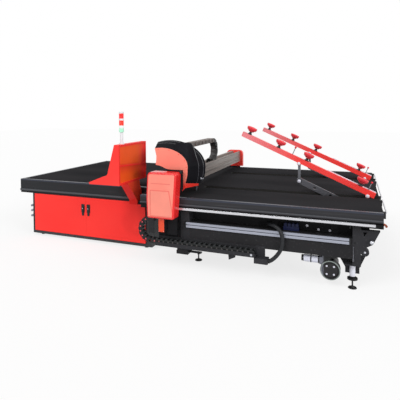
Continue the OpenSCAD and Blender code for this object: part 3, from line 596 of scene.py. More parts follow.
    @classmethod
    def box(cls, low: Vec3, high: Vec3, fillet: float) -> Array:
        """Makes a block with rounded edges between two corners.

        Args:
            low: The corner with the lowest x, y and z.
            high: The opposite corner.
            fillet: Radius of the edges above and below.

        Returns:
            A stack of one grid.
        """
        low_a, high_a = np.array(low, dtype=float), np.array(high, dtype=float)
        size = high_a - low_a
        outline = cls.round_rect(size[0], size[1], fillet * 1.3, 3)
        grid = cls.plate(outline, size[2], fillet, 2)
        middle = np.array([*(low_a + high_a)[:2] / 2, low_a[2]])
        return cls.placed(grid, middle, RIGHT, BACK, UP)


@dataclass
class Patch:
    """A stack of grids (count, rows, columns, 3) in millimetres that wear one finish."""

    grids: Array
    finish: int = 0

    def __post_init__(self) -> None:
        """Lets a single grid stand for a stack of one."""
        if self.grids.ndim == 3:
            self.grids = self.grids[None]

    @classmethod
    def placed(cls, grid: Array, places: Array, u: Array, v: Array, w: Array,
               finish: int = 0) -> "Patch":
        """Puts copies of a grid at places, its axes along u, v and w."""
        return cls(Shapes.placed(grid, places, u, v, w), finish)

    @classmethod
    def turned(cls, profile: Profile, steps: int, places: Array, towards: Vec3,
               finish: int = 0) -> "Patch":
        """Turns a profile of (radius, height) and puts copies at places.

        Args:
            profile: The profile from one end of the axis to the other.
            steps: Pieces in a turn.
            places: One layout point for each copy, or a single one.
            towards: Direction of the axis.
            finish: Number of the finish.

        Returns:
            The copies.
        """
        return cls(Shapes.facing(Shapes.turned(np.array(profile), steps), places, towards),
                   finish)

    def quads(self) -> Array:
        """Numbers the corners of every four-sided face of the stack.

        Returns:
            An array of (faces, 4).
        """
        count, rows, cols = self.grids.shape[:3]
        start = (np.arange(rows - 1)[:, None] * cols + np.arange(cols - 1)[None]).ravel()
        one = np.stack([start, start + 1, start + cols + 1, start + cols], axis=1)
        return (one[None] + (np.arange(count) * rows * cols)[:, None, None]).reshape(-1, 4)


class Bench:
    """Turns patches into finished pieces and gives each CAD node its finish."""

    def __init__(self, layout: Layout, nodes: dict[str, bpy.types.Object]) -> None:
        """Keeps the layout, the CAD nodes' objects and the materials made so far.

        Args:
            layout: Where millimetres lie in the frame.
            nodes: The CAD nodes' objects by name.
        """
        self.layout = layout
        self.nodes = nodes
        self.made: dict[str, bpy.types.Material] = {}

    def material(self, finish: Finish) -> bpy.types.Material:
        """Gives a finish's material, built once.

        Args:
            finish: The finish.

        Returns:
            The material that every piece with this finish shares.
        """
        if finish.name not in self.made:
            self.made[finish.name] = finish.material()
        return self.made[finish.name]

    def dress(self, node: str, finish: Finish) -> None:
        """Gives a CAD node's object one finish all over.

        Args:
            node: The node's name.
            finish: The finish.
        """
        data = self.nodes[node].data
        data.materials.clear()
        data.materials.append(self.material(finish))
        LOG.info("%s wears %s", node, finish.name)

    def piece(self, name: str, patches: list[Patch], finishes: list[Finish], slot: str,
              crease: float = CREASE) -> bpy.types.Object:
        """Joins patches into one object, closes its seams and turns its faces outwards.

        Args:
            name: The piece's name.
            patches: The patches, in millimetres.
            finishes: The finishes that the patches' numbers point at.
            slot: Not used.
            crease: Angle in degrees above which an edge stays sharp.

        Returns:
            The object.
        """
        sizes = [patch.grids.size // 3 for patch in patches]
        starts = np.concatenate([[0], np.cumsum(sizes)[:-1]])
        points = self.layout.metres(np.concatenate([p.grids.reshape(-1, 3) for p in patches]))
        quads = np.concatenate([p.quads() + s for p, s in zip(patches, starts)])
        marks = np.concatenate([np.full(len(p.quads()), p.finish) for p in patches])
        mesh = bpy.data.meshes.new(name)
        mesh.vertices.add(len(points))
        mesh.vertices.foreach_set("co", points.ravel())
        mesh.loops.add(quads.size)
        mesh.loops.foreach_set("vertex_index", quads.ravel())
        mesh.polygons.add(len(quads))
        mesh.polygons.foreach_set("loop_start", np.arange(0, quads.size, 4))
        mesh.polygons.foreach_set("material_index", marks)
        mesh.update(calc_edges=True)
        work = bmesh.new()
        work.from_mesh(mesh)
        bmesh.ops.remove_doubles(work, verts=work.verts, dist=SEAM)
        bmesh.ops.recalc_face_normals(work, faces=work.faces)
        work.to_mesh(mesh)
        work.free()
        mesh.shade_smooth()
        mesh.set_sharp_from_angle(angle=math.radians(crease))
        for finish in finishes:
            mesh.materials.append(self.material(finish))
        made = bpy.data.objects.new(name, mesh)
        bpy.context.scene.collection.objects.link(made)
        LOG.info("%s: %d faces", name, len(mesh.polygons))
        return made


class Paint:
    """The finishes of this machine."""

    STEEL_DARK = Finish("charcoal_powder_coat", srgb(44, 45, 47), srgb(34, 35, 37), rough=0.5,
                        spec=0.15, wear=0.1)
    CHASSIS = Finish("chassis_powder_coat", srgb(54, 54, 57), srgb(42, 42, 45), rough=0.52,
                     spec=0.12, cloud=1.4, wear=0.14)
    UNDER = Finish("underside_black", srgb(38, 38, 40), srgb(26, 26, 28), rough=0.6, spec=0.05,
                   wear=0.05)
    FELT = Finish("table_felt", srgb(58, 57, 59), srgb(45, 45, 47), rough=0.95, spec=0.0,
                  cloud=1.6, grain=Grain.FELT, stretch=(0.35, 1.0, 1.0), wear=0.1,
                  wear_colour=srgb(92, 92, 94))
    BOARD = Finish("board_edge", srgb(40, 38, 36), srgb(28, 27, 26), rough=0.8, grain=Grain.CAST,
                   stretch=(0.1, 1.0, 3.0), wear=0.2, wear_colour=srgb(96, 84, 70))
    TRIM = Finish("edge_trim_metal", srgb(68, 71, 83), srgb(52, 55, 65), rough=0.36, metal=0.45,
                  grain=Grain.BRUSHED, stretch=(0.02, 1.0, 1.0), wear=0.12)
    RAIL = Finish("ground_rail_steel", srgb(226, 226, 230), srgb(196, 197, 203), rough=0.22,
                  metal=0.7, grain=Grain.BRUSHED, stretch=(0.02, 1.0, 1.0), wear=0.08)
    RACK = Finish("rack_steel", srgb(120, 121, 126), srgb(92, 93, 98), rough=0.36, metal=0.9,
                  grain=Grain.BRUSHED, stretch=(0.1, 1.0, 1.0), wear=0.3,
                  wear_colour=srgb(40, 36, 32))
    DUCT = Finish("duct_aluminium", srgb(172, 176, 189), srgb(150, 154, 168), rough=0.34,
                  metal=0.5, grain=Grain.BRUSHED, stretch=(0.02, 1.0, 1.0), wear=0.1)
    BEAM = Finish("beam_anodised", srgb(158, 148, 142), srgb(142, 133, 128), rough=0.42,
                  metal=0.35, grain=Grain.BRUSHED, stretch=(1.0, 0.02, 1.0), wear=0.1)
    BEAM_RAIL = Finish("beam_rail_steel", srgb(150, 142, 136), srgb(126, 119, 114), rough=0.35,
                       metal=0.7, grain=Grain.BRUSHED, stretch=(1.0, 0.02, 1.0))
    RED = Finish("signal_red_paint", srgb(255, 62, 56), srgb(252, 54, 50), rough=0.42, spec=0.15,
                 cloud=1.1, wear=0.03, wear_colour=srgb(255, 150, 140))
    CAP_RED = Finish("end_cap_red_paint", srgb(250, 70, 60), srgb(236, 54, 46), rough=0.35,
                     coat=0.4, cloud=2.6, wear=0.05)
    ZINC = Finish("zinc_plated", srgb(214, 216, 222), srgb(176, 178, 186), rough=0.26,
                  metal=0.85, cloud=12.0, grain=Grain.CAST, wear=0.12)
    WHITE_METAL = Finish("white_enamel", srgb(236, 236, 244), srgb(212, 213, 226), rough=0.3,
                         coat=0.3, cloud=9.0, wear=0.08)
    LIFT_STEEL = Finish("lift_steel", srgb(104, 104, 110), srgb(78, 78, 84), rough=0.38,
                        metal=0.6, cloud=5.0, grain=Grain.BRUSHED, stretch=(0.15, 1.0, 1.0),
                        wear=0.25)
    BLACK_GLOSS = Finish("hood_black_gloss", srgb(36, 36, 40), srgb(27, 27, 30), rough=0.22,
                         spec=0.0, coat=0.02, grain=Grain.GLOSS, wear=0.02)
    # Lighter grey for the hood's beads: a painted highlight along their ridges
    BEAD_HIGHLIGHT = Finish("hood_bead_painted_highlight", srgb(92, 92, 97), srgb(70, 70, 75), rough=0.16,
                        spec=0.3, cloud=9.0, grain=Grain.GLOSS, wear=0.02)
    BLACK_PLASTIC = Finish("black_nylon", srgb(30, 32, 34), srgb(22, 23, 25), rough=0.44,
                           grain=Grain.CAST, cloud=14.0, wear=0.12)
    RUBBER_BLACK = Finish("black_rubber", srgb(34, 36, 40), srgb(24, 25, 28), rough=0.5,
                          grain=Grain.CAST, cloud=16.0, wear=0.1)
    CUP = Finish("cup_rubber", srgb(244, 64, 72), srgb(222, 46, 58), rough=0.42, sheen=0.1,
                 cloud=9.0, grain=Grain.CAST, wear=0.08, wear_colour=srgb(245, 130, 138))
    SCREEN = Finish("screen_glass", srgb(14, 17, 24), srgb(9, 11, 16), rough=0.1, coat=1.0,
                    grain=Grain.GLOSS, wear=0.02)
    KEYS = Finish("key_plastic", srgb(74, 76, 82), srgb(58, 60, 66), rough=0.46,
                  grain=Grain.CAST, cloud=20.0, wear=0.15)
    SWITCHGEAR = Finish("switchgear_plastic", srgb(198, 200, 204), srgb(176, 178, 184),
                        rough=0.5, grain=Grain.CAST, cloud=7.0, wear=0.1)
    GLAND = Finish("gland_nylon", srgb(150, 154, 166), srgb(118, 122, 134), rough=0.4,
                   grain=Grain.CAST, cloud=12.0)
    BLUE = Finish("valve_blue", srgb(18, 28, 74), srgb(12, 18, 48), rough=0.42, cloud=9.0,
                  grain=Grain.CAST)
    BRASS = Finish("brass_fitting", srgb(176, 92, 60), srgb(118, 56, 40), rough=0.32, metal=0.8,
                   cloud=16.0, grain=Grain.CAST, wear=0.2, wear_colour=srgb(220, 160, 110))
    LENS_RED = Finish("lens_red", srgb(255, 34, 26), srgb(236, 18, 14), rough=0.25, coat=0.6,
                      glow=0.25, grain=Grain.RIBBED, wear=0.0)
    LENS_AMBER = Finish("lens_amber", srgb(255, 52, 26), srgb(244, 34, 14), rough=0.25,
                        coat=0.6, glow=0.3, grain=Grain.RIBBED, wear=0.0)
    LENS_PALE = Zone((Edge(UP, 1.644, 1.652),), srgb(238, 248, 244), 0.25)
    LENS_GREEN = Finish("lens_green", srgb(206, 246, 226), srgb(126, 232, 182), rough=0.25,
                        coat=0.6, glow=0.15, grain=Grain.RIBBED, wear=0.0, zones=(LENS_PALE,))
    TOWER = Finish("tower_ivory", srgb(238, 238, 240), srgb(222, 224, 228), rough=0.34,
                   coat=0.3, cloud=12.0, wear=0.04)
    ORANGE_PLATE = Finish("orange_plate", srgb(240, 84, 44), srgb(216, 62, 30), rough=0.4,
                          coat=0.3, cloud=9.0, wear=0.08)
    COVER_RIM = Finish("cover_red_gloss", srgb(244, 46, 44), srgb(222, 30, 32), rough=0.26,
                       coat=0.35, cloud=3.0, wear=0.04, wear_colour=srgb(255, 190, 180))


# Washer and socket head in (radius, height), as parts of the head's radius and height
SCREW = np.array([[0.0, 0.0], [1.55, 0.0], [1.6, 0.08], [1.55, 0.22], [1.0, 0.24],
                  [1.0, 0.82], [0.86, 1.0], [0.56, 1.0], [0.5, 0.55], [0.0, 0.55]])
SCREW_HEIGHT = 0.8


@dataclass
class SubAssembly:
    """What every sub-assembly shares: its bench, colour borders, pieces and screws."""

    bench: Bench

    def edge(self, direction: Vec3, start: Vec3, width: float = BORDER) -> Edge:
        """Gives the border through a layout point, across a direction, width mm wide."""
        place = float(np.dot(direction, self.bench.layout.metres(np.array(start))))
        return Edge(direction, place - width / 2000, place + width / 2000)

    def above(self, height: float, width: float = BORDER) -> Edge:
        """Gives the border of all that is above a height."""
        return self.edge(UP, (0.0, 0.0, height), width)

    def below(self, height: float, width: float = BORDER) -> Edge:
        """Gives the border of all that is below a height."""
        return self.edge(DOWN, (0.0, 0.0, height), width)

    def right_of(self, x: float, width: float = BORDER) -> Edge:
        """Gives the border of all that is to the right of x."""
        return self.edge(RIGHT, (x, 0.0, 0.0), width)

    def left_of(self, x: float, width: float = BORDER) -> Edge:
        """Gives the border of all that is to the left of x."""
        return self.edge(LEFT, (x, 0.0, 0.0), width)

    def wear(self, finishes: dict[str, Finish]) -> None:
        """Gives CAD nodes their finishes."""
        for node, finish in finishes.items():
            self.bench.dress(node, finish)

    def fit(self, name: str, patches: list[Patch], finishes: list[Finish], slot: str,
              body: str = "frame", crease: float = CREASE) -> bpy.types.Object:
        """Makes a piece and lets it ride on a body.

        Args:
            name: The piece's name.
            patches: The patches, in millimetres.
            finishes: The finishes that the patches' numbers point at.
            slot: Passed on to the bench, which does not use it.
            body: The body that the piece moves with.
            crease: Angle in degrees above which an edge stays sharp.

        Returns:
            The object.
        """
        made = self.bench.piece(name, patches, finishes, slot, crease)
        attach(made, body)
        return made

    def screws(self, name: str, places: list[Vec3], towards: Vec3, radius: float,
               finish: Finish, slot: str, body: str = "frame") -> None:
        """Makes one piece of several equal screws: a washer and a socket head, turned."""
        profile = SCREW * np.array([radius, radius * SCREW_HEIGHT])
        self.fit(name, [Patch.turned(profile, 14, places, towards)], [finish], slot, body)


@dataclass
class CuttingTable(SubAssembly):
    """Felted table, its support table on the left, side beams, rails and racks."""

    bar_left: float = 24.2
    nut_radius: float = 13.0

    def dress(self) -> None:
        """Gives the table's CAD nodes their finishes; both aprons have a pale lip, and the recess
        below each is painted near black as shade.
        """
        dark_end = Zone((self.left_of(self.bar_left),), srgb(38, 38, 42), 0.5)
        bar = Finish("edge_bar_white", srgb(240, 240, 244), srgb(224, 225, 232), rough=0.35,
                     coat=0.2, wear=0.06, zones=(dark_end,))
        # Painted shade: the rail apron's recess below 741 is near black
        recess_shade = Zone((self.below(741.0, 2.0),), srgb(20, 20, 22), 0.5)
        lip = Zone((self.above(760.0, 24.0), self.below(765.3, 1.0)), srgb(104, 106, 112), 0.4)
        apron = Finish("apron_anodised", srgb(56, 56, 59), srgb(47, 47, 50), rough=0.42,
                       metal=0.1, spec=0.15, grain=Grain.BRUSHED, stretch=(0.02, 1.0, 1.0),
                       wear=0.1, zones=(recess_shade, lip))
        # Painted shade: the support apron's recess below 663 is near black
        recess_shade = Zone((self.below(663.0, 2.0),), srgb(34, 34, 36), 0.5)
        lip = Zone((self.above(672.0, 12.0), self.below(696.0, 6.0)), srgb(82, 84, 88), 0.4)
        support = Finish("support_apron", srgb(44, 45, 48), srgb(34, 35, 37), rough=0.45,
                         metal=0.08, spec=0.15, grain=Grain.BRUSHED, stretch=(0.02, 0.3, 1.0),
                         wear=0.08, zones=(recess_shade, lip))
        self.wear({"boards": Paint.BOARD, "felt": Paint.FELT, "edge_trim": Paint.TRIM,
                   "rail_beams": apron, "cross_beams": Paint.UNDER, "ext_frame": support,
                   "guide_rails": Paint.RAIL, "racks": Paint.RACK, "edge_bar": bar})

    def build(self) -> None:
        """Makes the rails' end box, its screws and the brass elbow at the right end."""
        box = Shapes.box((-68.0, -12.0, 684.0), (0.0, 9.4, 724.0), 2.5)
        lug = Shapes.box((-44.0, -14.5, 694.0), (-16.0, -10.5, 714.0), 2.0)
        self.fit("rail_end_box", [Patch(box), Patch(lug)], [Paint.BLACK_PLASTIC], "rail_beams")
        self.screws("rail_end_screws", [(x, -12.0, z) for z in (716.0, 692.0)
                                        for x in (-58.0, -10.0)],
                    FRONT, 2.6, Paint.ZINC, "rail_beams")
        path = Shapes.smooth_path(np.array([[-1.0, 24.0, 724.0], [12.0, 24.0, 724.0],
                                            [20.0, 21.0, 722.0], [23.0, 12.0, 718.0],
                                            [23.0, -4.0, 716.0]]), 22)
        ring = Shapes.round_rect(17.0, 17.0, 8.4, 5)
        tube = Shapes.closed(Shapes.swept(path, ring, UP))
        nut = [(0.0, 0.0), (11.5, 0.0), (self.nut_radius, 1.5), (self.nut_radius, 9.5),
               (11.5, 11.0), (0.0, 11.0)]
        nuts = [Patch.turned(nut, 6, (0.0, 24.0, 724.0), RIGHT),
                Patch.turned(nut, 6, (23.0, -1.0, 716.5), FRONT)]
        self.fit("end_elbow", [Patch(tube), *nuts], [Paint.BRASS], "edge_bar", crease=30.0)


@dataclass
class Chassis(SubAssembly):
    """Chords, posts, feet, cable duct, tray and the small fittings on them."""

    chord_front: float = 60.0
    duct_left: float = -2120.0
    duct_right: float = -310.0
    duct_bottom: float = 485.0
    duct_height: float = 61.0

    def dress(self) -> None:
        """Gives the chassis nodes their finishes; the right foot has a white block, and the duct
        is painted with shade along the gap between its lids.
        """
        chords = Finish("chord_powder_coat", srgb(46, 45, 47), srgb(35, 35, 37), rough=0.5,
                        spec=0.12, cloud=1.3, wear=0.12)
        block = Zone((self.above(128.0), self.below(246.0), self.right_of(-700.0)),
                     srgb(228, 229, 240), 0.3)
        feet = Finish("foot_black", srgb(26, 26, 28), srgb(16, 16, 18), rough=0.45, cloud=6.0,
                      grain=Grain.CAST, wear=0.2, zones=(block,))
        # A dark strip painted on the duct behind the lids' gap stands for its shade
        middle = self.duct_bottom + 30.4
        gap_shade = Zone((self.above(middle - 4.5, 1.0), self.below(middle + 4.5, 1.0)),
                    srgb(58, 60, 68), 0.5)
        duct = replace(Paint.DUCT, name="duct_gap_shade_aluminium", zones=(gap_shade,))
        self.wear({"chords": chords, "posts": Paint.CHASSIS, "levelling_feet": feet,
                   "chain_tray": Paint.CHASSIS, "cable_duct": duct,
                   "valve_block": Paint.BLUE, "shaft_supports": Paint.STEEL_DARK})

    def duct(self) -> None:
        """Makes the duct's two snap-in lids, with a gap between them over the duct's painted
        shade, and its end caps.
        """
        front, low, left, right = (self.chord_front - 20.0, self.duct_bottom, self.duct_left,
                                   self.duct_right)
        lids = [Patch(Shapes.box((left + 2, front + 0.6, z), (right - 2, front + 8.6, z + 24.0),
                                 1.6)) for z in (low + 3.0, low + 34.0)]
        self.fit("duct_lids", lids, [Paint.DUCT], "cable_duct")
        caps = [Patch(Shapes.box((x - 8, front - 1.5, low - 1.5),
                                 (x + 8, front + 19.8, low + self.duct_height + 1.5), 2.0))
                for x in (left - 2, right + 2)]
        self.fit("duct_caps", caps, [Paint.BLACK_PLASTIC], "cable_duct")

    def fittings(self) -> None:
        """Makes the screws, the bracket's knob, the jack's indicator, a dark backboard for the
        tray and dark sheets that fill the shade behind the brackets.
        """
        front = self.chord_front
        self.screws("plenum_screws", [(-749.0, 200.0, 594.0), (-629.0, 200.0, 564.0),
                                      (-510.0, 200.0, 563.0)], FRONT, 8.5,
                    Paint.WHITE_METAL, "cross_beams")
        self.screws("roller_screw", [(-167.0, front, 414.0)], FRONT, 7.0, Paint.ZINC, "posts")
        knob = [(0.0, -1.0), (13.0, -1.0), (13.0, 5.0), (9.0, 8.0), (14.0, 11.0), (19.0, 18.0),
                (20.0, 25.0), (17.0, 33.0), (10.0, 38.0), (0.0, 40.0)]
        self.fit("bracket_knob", [Patch.turned(knob, 20, (-106.0, front, 530.0), FRONT)],
                 [Paint.ZINC], "posts")
        rod = [(0.0, 0.0), (9.0, 0.0), (10.0, 3.0), (10.0, 28.0), (5.0, 34.0), (4.0, 36.0),
               (4.0, 142.0), (6.0, 144.0), (6.0, 152.0), (0.0, 152.0)]
        self.fit("jack_indicator", [Patch.turned(rod, 14, (-277.0, front - 9.6, 312.0), UP)],
                 [Paint.LIFT_STEEL], "posts")
        sheets = {("tray_backboard", "chain_tray"): (
                      ((-2478.0, 57.2, 335.0), (-2192.0, 60.2, 452.0), 1.4),
                      ((-2470.0, 54.0, 440.0), (-2200.0, 57.6, 448.0), 1.2)),
                  # Dark sheets behind the brackets stand for shade there, not for parts
                  ("bracket_shade_sheet", "cross_beams"): (
                      ((-2160.0, 190.0, 560.0), (-2000.0, 194.0, 692.0), 1.5),
                      ((-500.0, 190.0, 536.0), (-120.0, 194.0, 692.0), 1.5),
                      ((-124.0, 190.0, 628.0), (-40.0, 194.0, 692.0), 1.5))}
        for (name, slot), boxes in sheets.items():
            self.fit(name, [Patch(Shapes.box(*box)) for box in boxes], [Paint.UNDER], slot)
        self.screws("tray_screws", [(-1312.0, -50.0, 284.0)], FRONT, 8.0, Paint.ZINC,
                    "chain_tray")
        corners = [(x, front, z) for xs, zs in (((-2165.0, -2105.0), (300.0, 660.0)),
                                                ((-308.0, -260.0), (500.0, 655.0)))
                   for x in xs for z in zs]
        self.screws("post_screws", corners, FRONT, 6.0, Paint.BLACK_PLASTIC, "posts")


@dataclass
class Blower(SubAssembly):
    """Vacuum blower under the chord, its silencer and its bent hose."""

    centre_x: float = -501.0
    centre_z: float = 174.0
    front: float = 90.0
    hose_radius: float = 22.0
    hose_pitch: float = 13.0

    def dress(self) -> None:
        """Gives the blower a black body, a grey port and a white silencer, black behind."""
        x = self.centre_x
        port = Zone((self.left_of(x - 70, 20.0),), srgb(120, 122, 132), 0.4)
        silencer = Zone((self.right_of(x - 272), self.left_of(x - 112)), srgb(226, 228, 242),
                        0.35)
        rest = Zone((self.left_of(x - 273),), srgb(16, 16, 18), 0.4)
        self.wear({"blower": Finish("blower_black", srgb(38, 38, 39), srgb(26, 26, 27),
                                    rough=0.42, grain=Grain.CAST, cloud=8.0, wear=0.1,
                                    zones=(port, silencer, rest))})

    def build(self) -> None:
        """Makes the rim, four screws and the silencer's bands."""
        x, z = self.centre_x, self.centre_z
        rim = [(92.0, 0.0), (100.5, 0.0), (102.0, 1.6), (102.0, 6.4), (100.5, 8.0), (92.0, 8.0),
               (92.0, 0.0)]
        grey = Finish("rim_grey", srgb(150, 160, 156), srgb(116, 124, 120), rough=0.35,
                      metal=0.4, cloud=14.0, grain=Grain.CAST)
        self.fit("blower_rim", [Patch.turned(rim, 56, (x, self.front + 6.0, z), FRONT)],
                 [grey], "blower")
        self.screws("blower_screws", [(x + a * 36.0, self.front + 4.0, z + b * 42.0)
                                      for a in (-1, 1) for b in (-1, 1)],
                    FRONT, 6.4, Paint.WHITE_METAL, "blower")
        band = [(37.0, 0.0), (39.5, 0.0), (41.0, 2.0), (41.0, 10.0), (39.5, 12.0), (37.0, 12.0),
                (37.0, 0.0)]
        places = [(x - d, 135.0, z + 89.0) for d in (204.0, 124.0)]
        self.fit("silencer_bands", [Patch.turned(band, 36, places, RIGHT)],
                 [Paint.RUBBER_BLACK], "blower")

    def hose(self) -> None:
        """Carries a ring along the hose's bent path and adds a clamp near each end.

        The ring's radius swells a little with sin of the place along the path, once for
        each turn of the wire inside the wall.
        """
        knots = np.array([[-1165, 200, 590], [-1165, 176, 590], [-1150, 130, 596],
                          [-1112, 78, 602], [-1062, 36, 600], [-1018, 14, 572],
                          [-992, 6, 520], [-983, 3, 462], [-989, 2, 402], [-1010, 2, 345],
                          [-1045, 2, 292], [-1085, 2, 250], [-1118, 2, 227], [-1137, 2, 224]],
                         dtype=float)
        path = Shapes.smooth_path(knots, 260)
        turn = np.linspace(0.0, 2 * np.pi, 25)
        ring = np.stack([np.cos(turn), np.sin(turn)], axis=1)
        grid = Shapes.swept(path, ring, (1.0, 1.6, -0.6))
        wave = np.sin(Shapes.reach(path) * 2 * np.pi / self.hose_pitch)
        swell = self.hose_radius - 1.0 + 0.9 * wave
        grid = path[:, None] + (grid - path[:, None]) * swell[:, None, None]
        clamp = [(21.0, 0.0), (24.0, 0.0), (25.0, 1.5), (25.0, 12.5), (24.0, 14.0),
                 (21.0, 14.0), (21.0, 0.0)]
        patches = [Patch(Shapes.closed(grid)),
                   Patch.turned(clamp, 30, (-1165.0, 197.0, 590.0), FRONT, 1),
                   Patch.turned(clamp, 30, (-1121.0, 2.0, 226.0), (-1.0, 0.0, -0.18), 1)]
        made = self.fit("suction_hose", patches, [Paint.RUBBER_BLACK, Paint.BLACK_PLASTIC],
                        "blower_hose")
        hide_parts("blower_hose")


@dataclass
class Cabinet(SubAssembly):
    """Electrical cabinet under the support table, with two doors and their latches."""

    left: float = -4807.0
    right: float = -2788.0
    door_front: float = 431.0
    latch_z: float = 478.0

    def dress(self) -> None:
        """Gives the cabinet's nodes their finishes."""
        frame = Finish("cabinet_frame", srgb(58, 60, 62), srgb(46, 48, 50), rough=0.46,
                       cloud=1.4, wear=0.1)
        guard = self.left_of(self.left + 53.0, 1.0)
        guarded = replace(Paint.RED, name="door_red_guarded",
                          zones=(Zone((guard,), srgb(44, 45, 48), 0.46),))
        self.wear({"cabinet_carcass": frame, "switchgear": Paint.SWITCHGEAR,
                   "cable_glands": Paint.GLAND, "door_left": guarded, "door_right": Paint.RED,
                   "latch_left": Paint.BLACK_PLASTIC, "latch_right": Paint.BLACK_PLASTIC})

    def build(self) -> None:
        """Makes the glands' nuts, caps and tails and the latches' roses and key cylinders."""
        nut = [(0.0, 0.0), (24.0, 0.0), (25.0, 1.0), (25.0, 7.0), (24.0, 8.0), (0.0, 8.0)]
        cap = [(0.0, 0.0), (17.5, 0.0), (17.5, 14.0), (15.0, 19.0), (9.0, 20.5), (8.0, 17.0),
               (0.0, 17.0)]
        tail = [(0.0, 0.0), (14.0, 0.0), (15.5, 3.0), (17.0, 30.0), (16.0, 32.0), (0.0, 32.0)]
        places = np.array([[self.left, 484.3, z] for z in (438.0, 364.0, 284.0)])
        patches = [Patch.turned(nut, 6, places, LEFT),
                   Patch.turned(cap, 24, places + np.array([-14.0, 0.0, 0.0]), LEFT),
                   Patch.turned(tail, 20, places + np.array([-30.0, 0.0, 0.0]),
                                (-1.0, 0.0, -0.35))]
        self.fit("gland_nuts", patches, [Paint.GLAND], "cable_glands", crease=30.0)
        middle = (self.left + 27.0 + self.right - 89.0) / 2
        key = [(0.0, 0.0), (6.5, 0.0), (7.0, 0.6), (7.0, 2.0), (6.0, 2.8), (2.0, 2.8),
               (1.6, 1.2), (0.0, 1.2)]
        rose = Shapes.plate(Shapes.round_rect(56.0, 118.0, 4.0), 2.6, 1.0)
        for side, shift in (("left", -48.0), ("right", 44.0)):
            x, front, z = middle + shift, self.door_front, self.latch_z
            self.fit(f"{side}_latch_rose",
                     [Patch.placed(rose, (x, front - 2.4, z), RIGHT, UP, FRONT)],
                     [Paint.BLACK_PLASTIC], f"door_{side}", f"door_{side}")
            self.fit(f"{side}_key_cylinder",
                     [Patch.turned(key, 18, (x, front - 14.0, z), FRONT)], [Paint.ZINC],
                     f"latch_{side}", f"latch_{side}")


@dataclass
class Console(SubAssembly):
    """Operator's console with its screen, keyboard, stop button and signal tower."""

    back: float = -2900.0
    front: float = -150.0
    bottom: float = 958.0
    top: float = 1452.0
    desk_rise: float = 85.0
    desk_near: float = 218.0
    desk_far: float = 437.0
    desk_sill: float = 22.0
    stop_up: float = 110.0
    stop_side: float = 605.0

    def dress(self) -> None:
        """Gives the console and the tower their finishes.

        The end that faces along the table is flat red. The tall back, which faces right, is
        painted light: a darker red as painted shade, an orange painted reflection over its middle
        that fades to red at its border, and a darker band low down. The neck is painted dark red
        in front as shade and lit orange on its side.
        """
        front, bottom = self.front, self.bottom
        # Painted light on the right-facing back: a shaded darker red, an orange painted
        # reflection and a darker band low down
        back = Edge(RIGHT, 0.45, 0.6, on_normal=True)
        inner = (back, self.left_of(self.back - 2.0, 1.0),
                 self.edge((0.0, -1.0, 0.12), (0, front + 520.0, 1200.0), 150.0))
        band = (*inner, self.edge((0.0, -0.067, -1.0), (0, front, bottom + 262.0), 24.0),
                self.edge((0.0, 0.067, 1.0), (0, front, bottom + 175.0), 90.0))
        shell = Finish("console_red_painted_light", srgb(255, 68, 62), srgb(250, 60, 56), rough=0.38,
                       spec=0.12, cloud=2.4, wear=0.03, wear_colour=srgb(255, 150, 140),
                       zones=(Zone((back,), srgb(255, 54, 48), 0.36),
                              Zone(inner, srgb(255, 94, 34), 0.34),
                              Zone(band, srgb(238, 70, 38), 0.34)))
        # Painted light on the neck: its front is painted dark red as shade, its right side lit
        # orange, less so low down
        side = Edge(RIGHT, 0.3, 0.6, on_normal=True)
        lower = self.edge((0.0, 0.9, -0.4), (0, 300.0, 860.0), 170.0)
        neck = Finish("neck_painted_shade", srgb(240, 42, 34), srgb(216, 34, 30), rough=0.42, spec=0.12,
                      cloud=4.0, wear=0.04,
                      zones=(Zone((side,), srgb(255, 78, 48), 0.36),
                             Zone((side, lower), srgb(250, 62, 42), 0.36),
                             Zone((self.right_of(self.back + 1.0),), srgb(24, 24, 26), 0.5)))
        self.wear({"console_shell": shell, "console_neck": neck, "console_screen": Paint.SCREEN,
                   "console_keyboard": Paint.KEYS, "estop_button": Paint.RED,
                   "tower_body": Paint.TOWER, "tower_lens_red": Paint.LENS_RED,
                   "tower_lens_amber": Paint.LENS_AMBER, "tower_lens_green": Paint.LENS_GREEN})

    def build(self) -> None:
        """Makes the back panel's screws and the collar of the stop button."""
        places = [(self.back, y, z) for y in (self.front + 13.0, self.front + 657.0)
                  for z in (self.bottom + 14.0, self.bottom + 236.0, self.top - 14.0)]
        self.screws("console_screws", places, RIGHT, 3.4, Paint.CAP_RED, "console_shell")
        slope = math.atan(self.desk_rise / (self.desk_far - self.desk_near))
        base = (self.back - self.desk_far + self.stop_up, self.front + self.stop_side,
                self.bottom + self.desk_sill + self.stop_up * math.tan(slope))
        collar = [(22.5, 0.0), (30.0, 0.0), (31.0, 1.0), (30.4, 2.2), (27.0, 3.2),
                  (23.4, 3.2), (22.5, 2.4), (22.5, 0.0)]
        yellow = Finish("collar_yellow", srgb(246, 202, 34), srgb(226, 178, 22), rough=0.35,
                        coat=0.3, cloud=18.0, grain=Grain.CAST)
        normal = (-math.sin(slope), 0.0, math.cos(slope))
        self.fit("stop_collar", [Patch.turned(collar, 40, base, normal)], [yellow],
                 "estop_button")


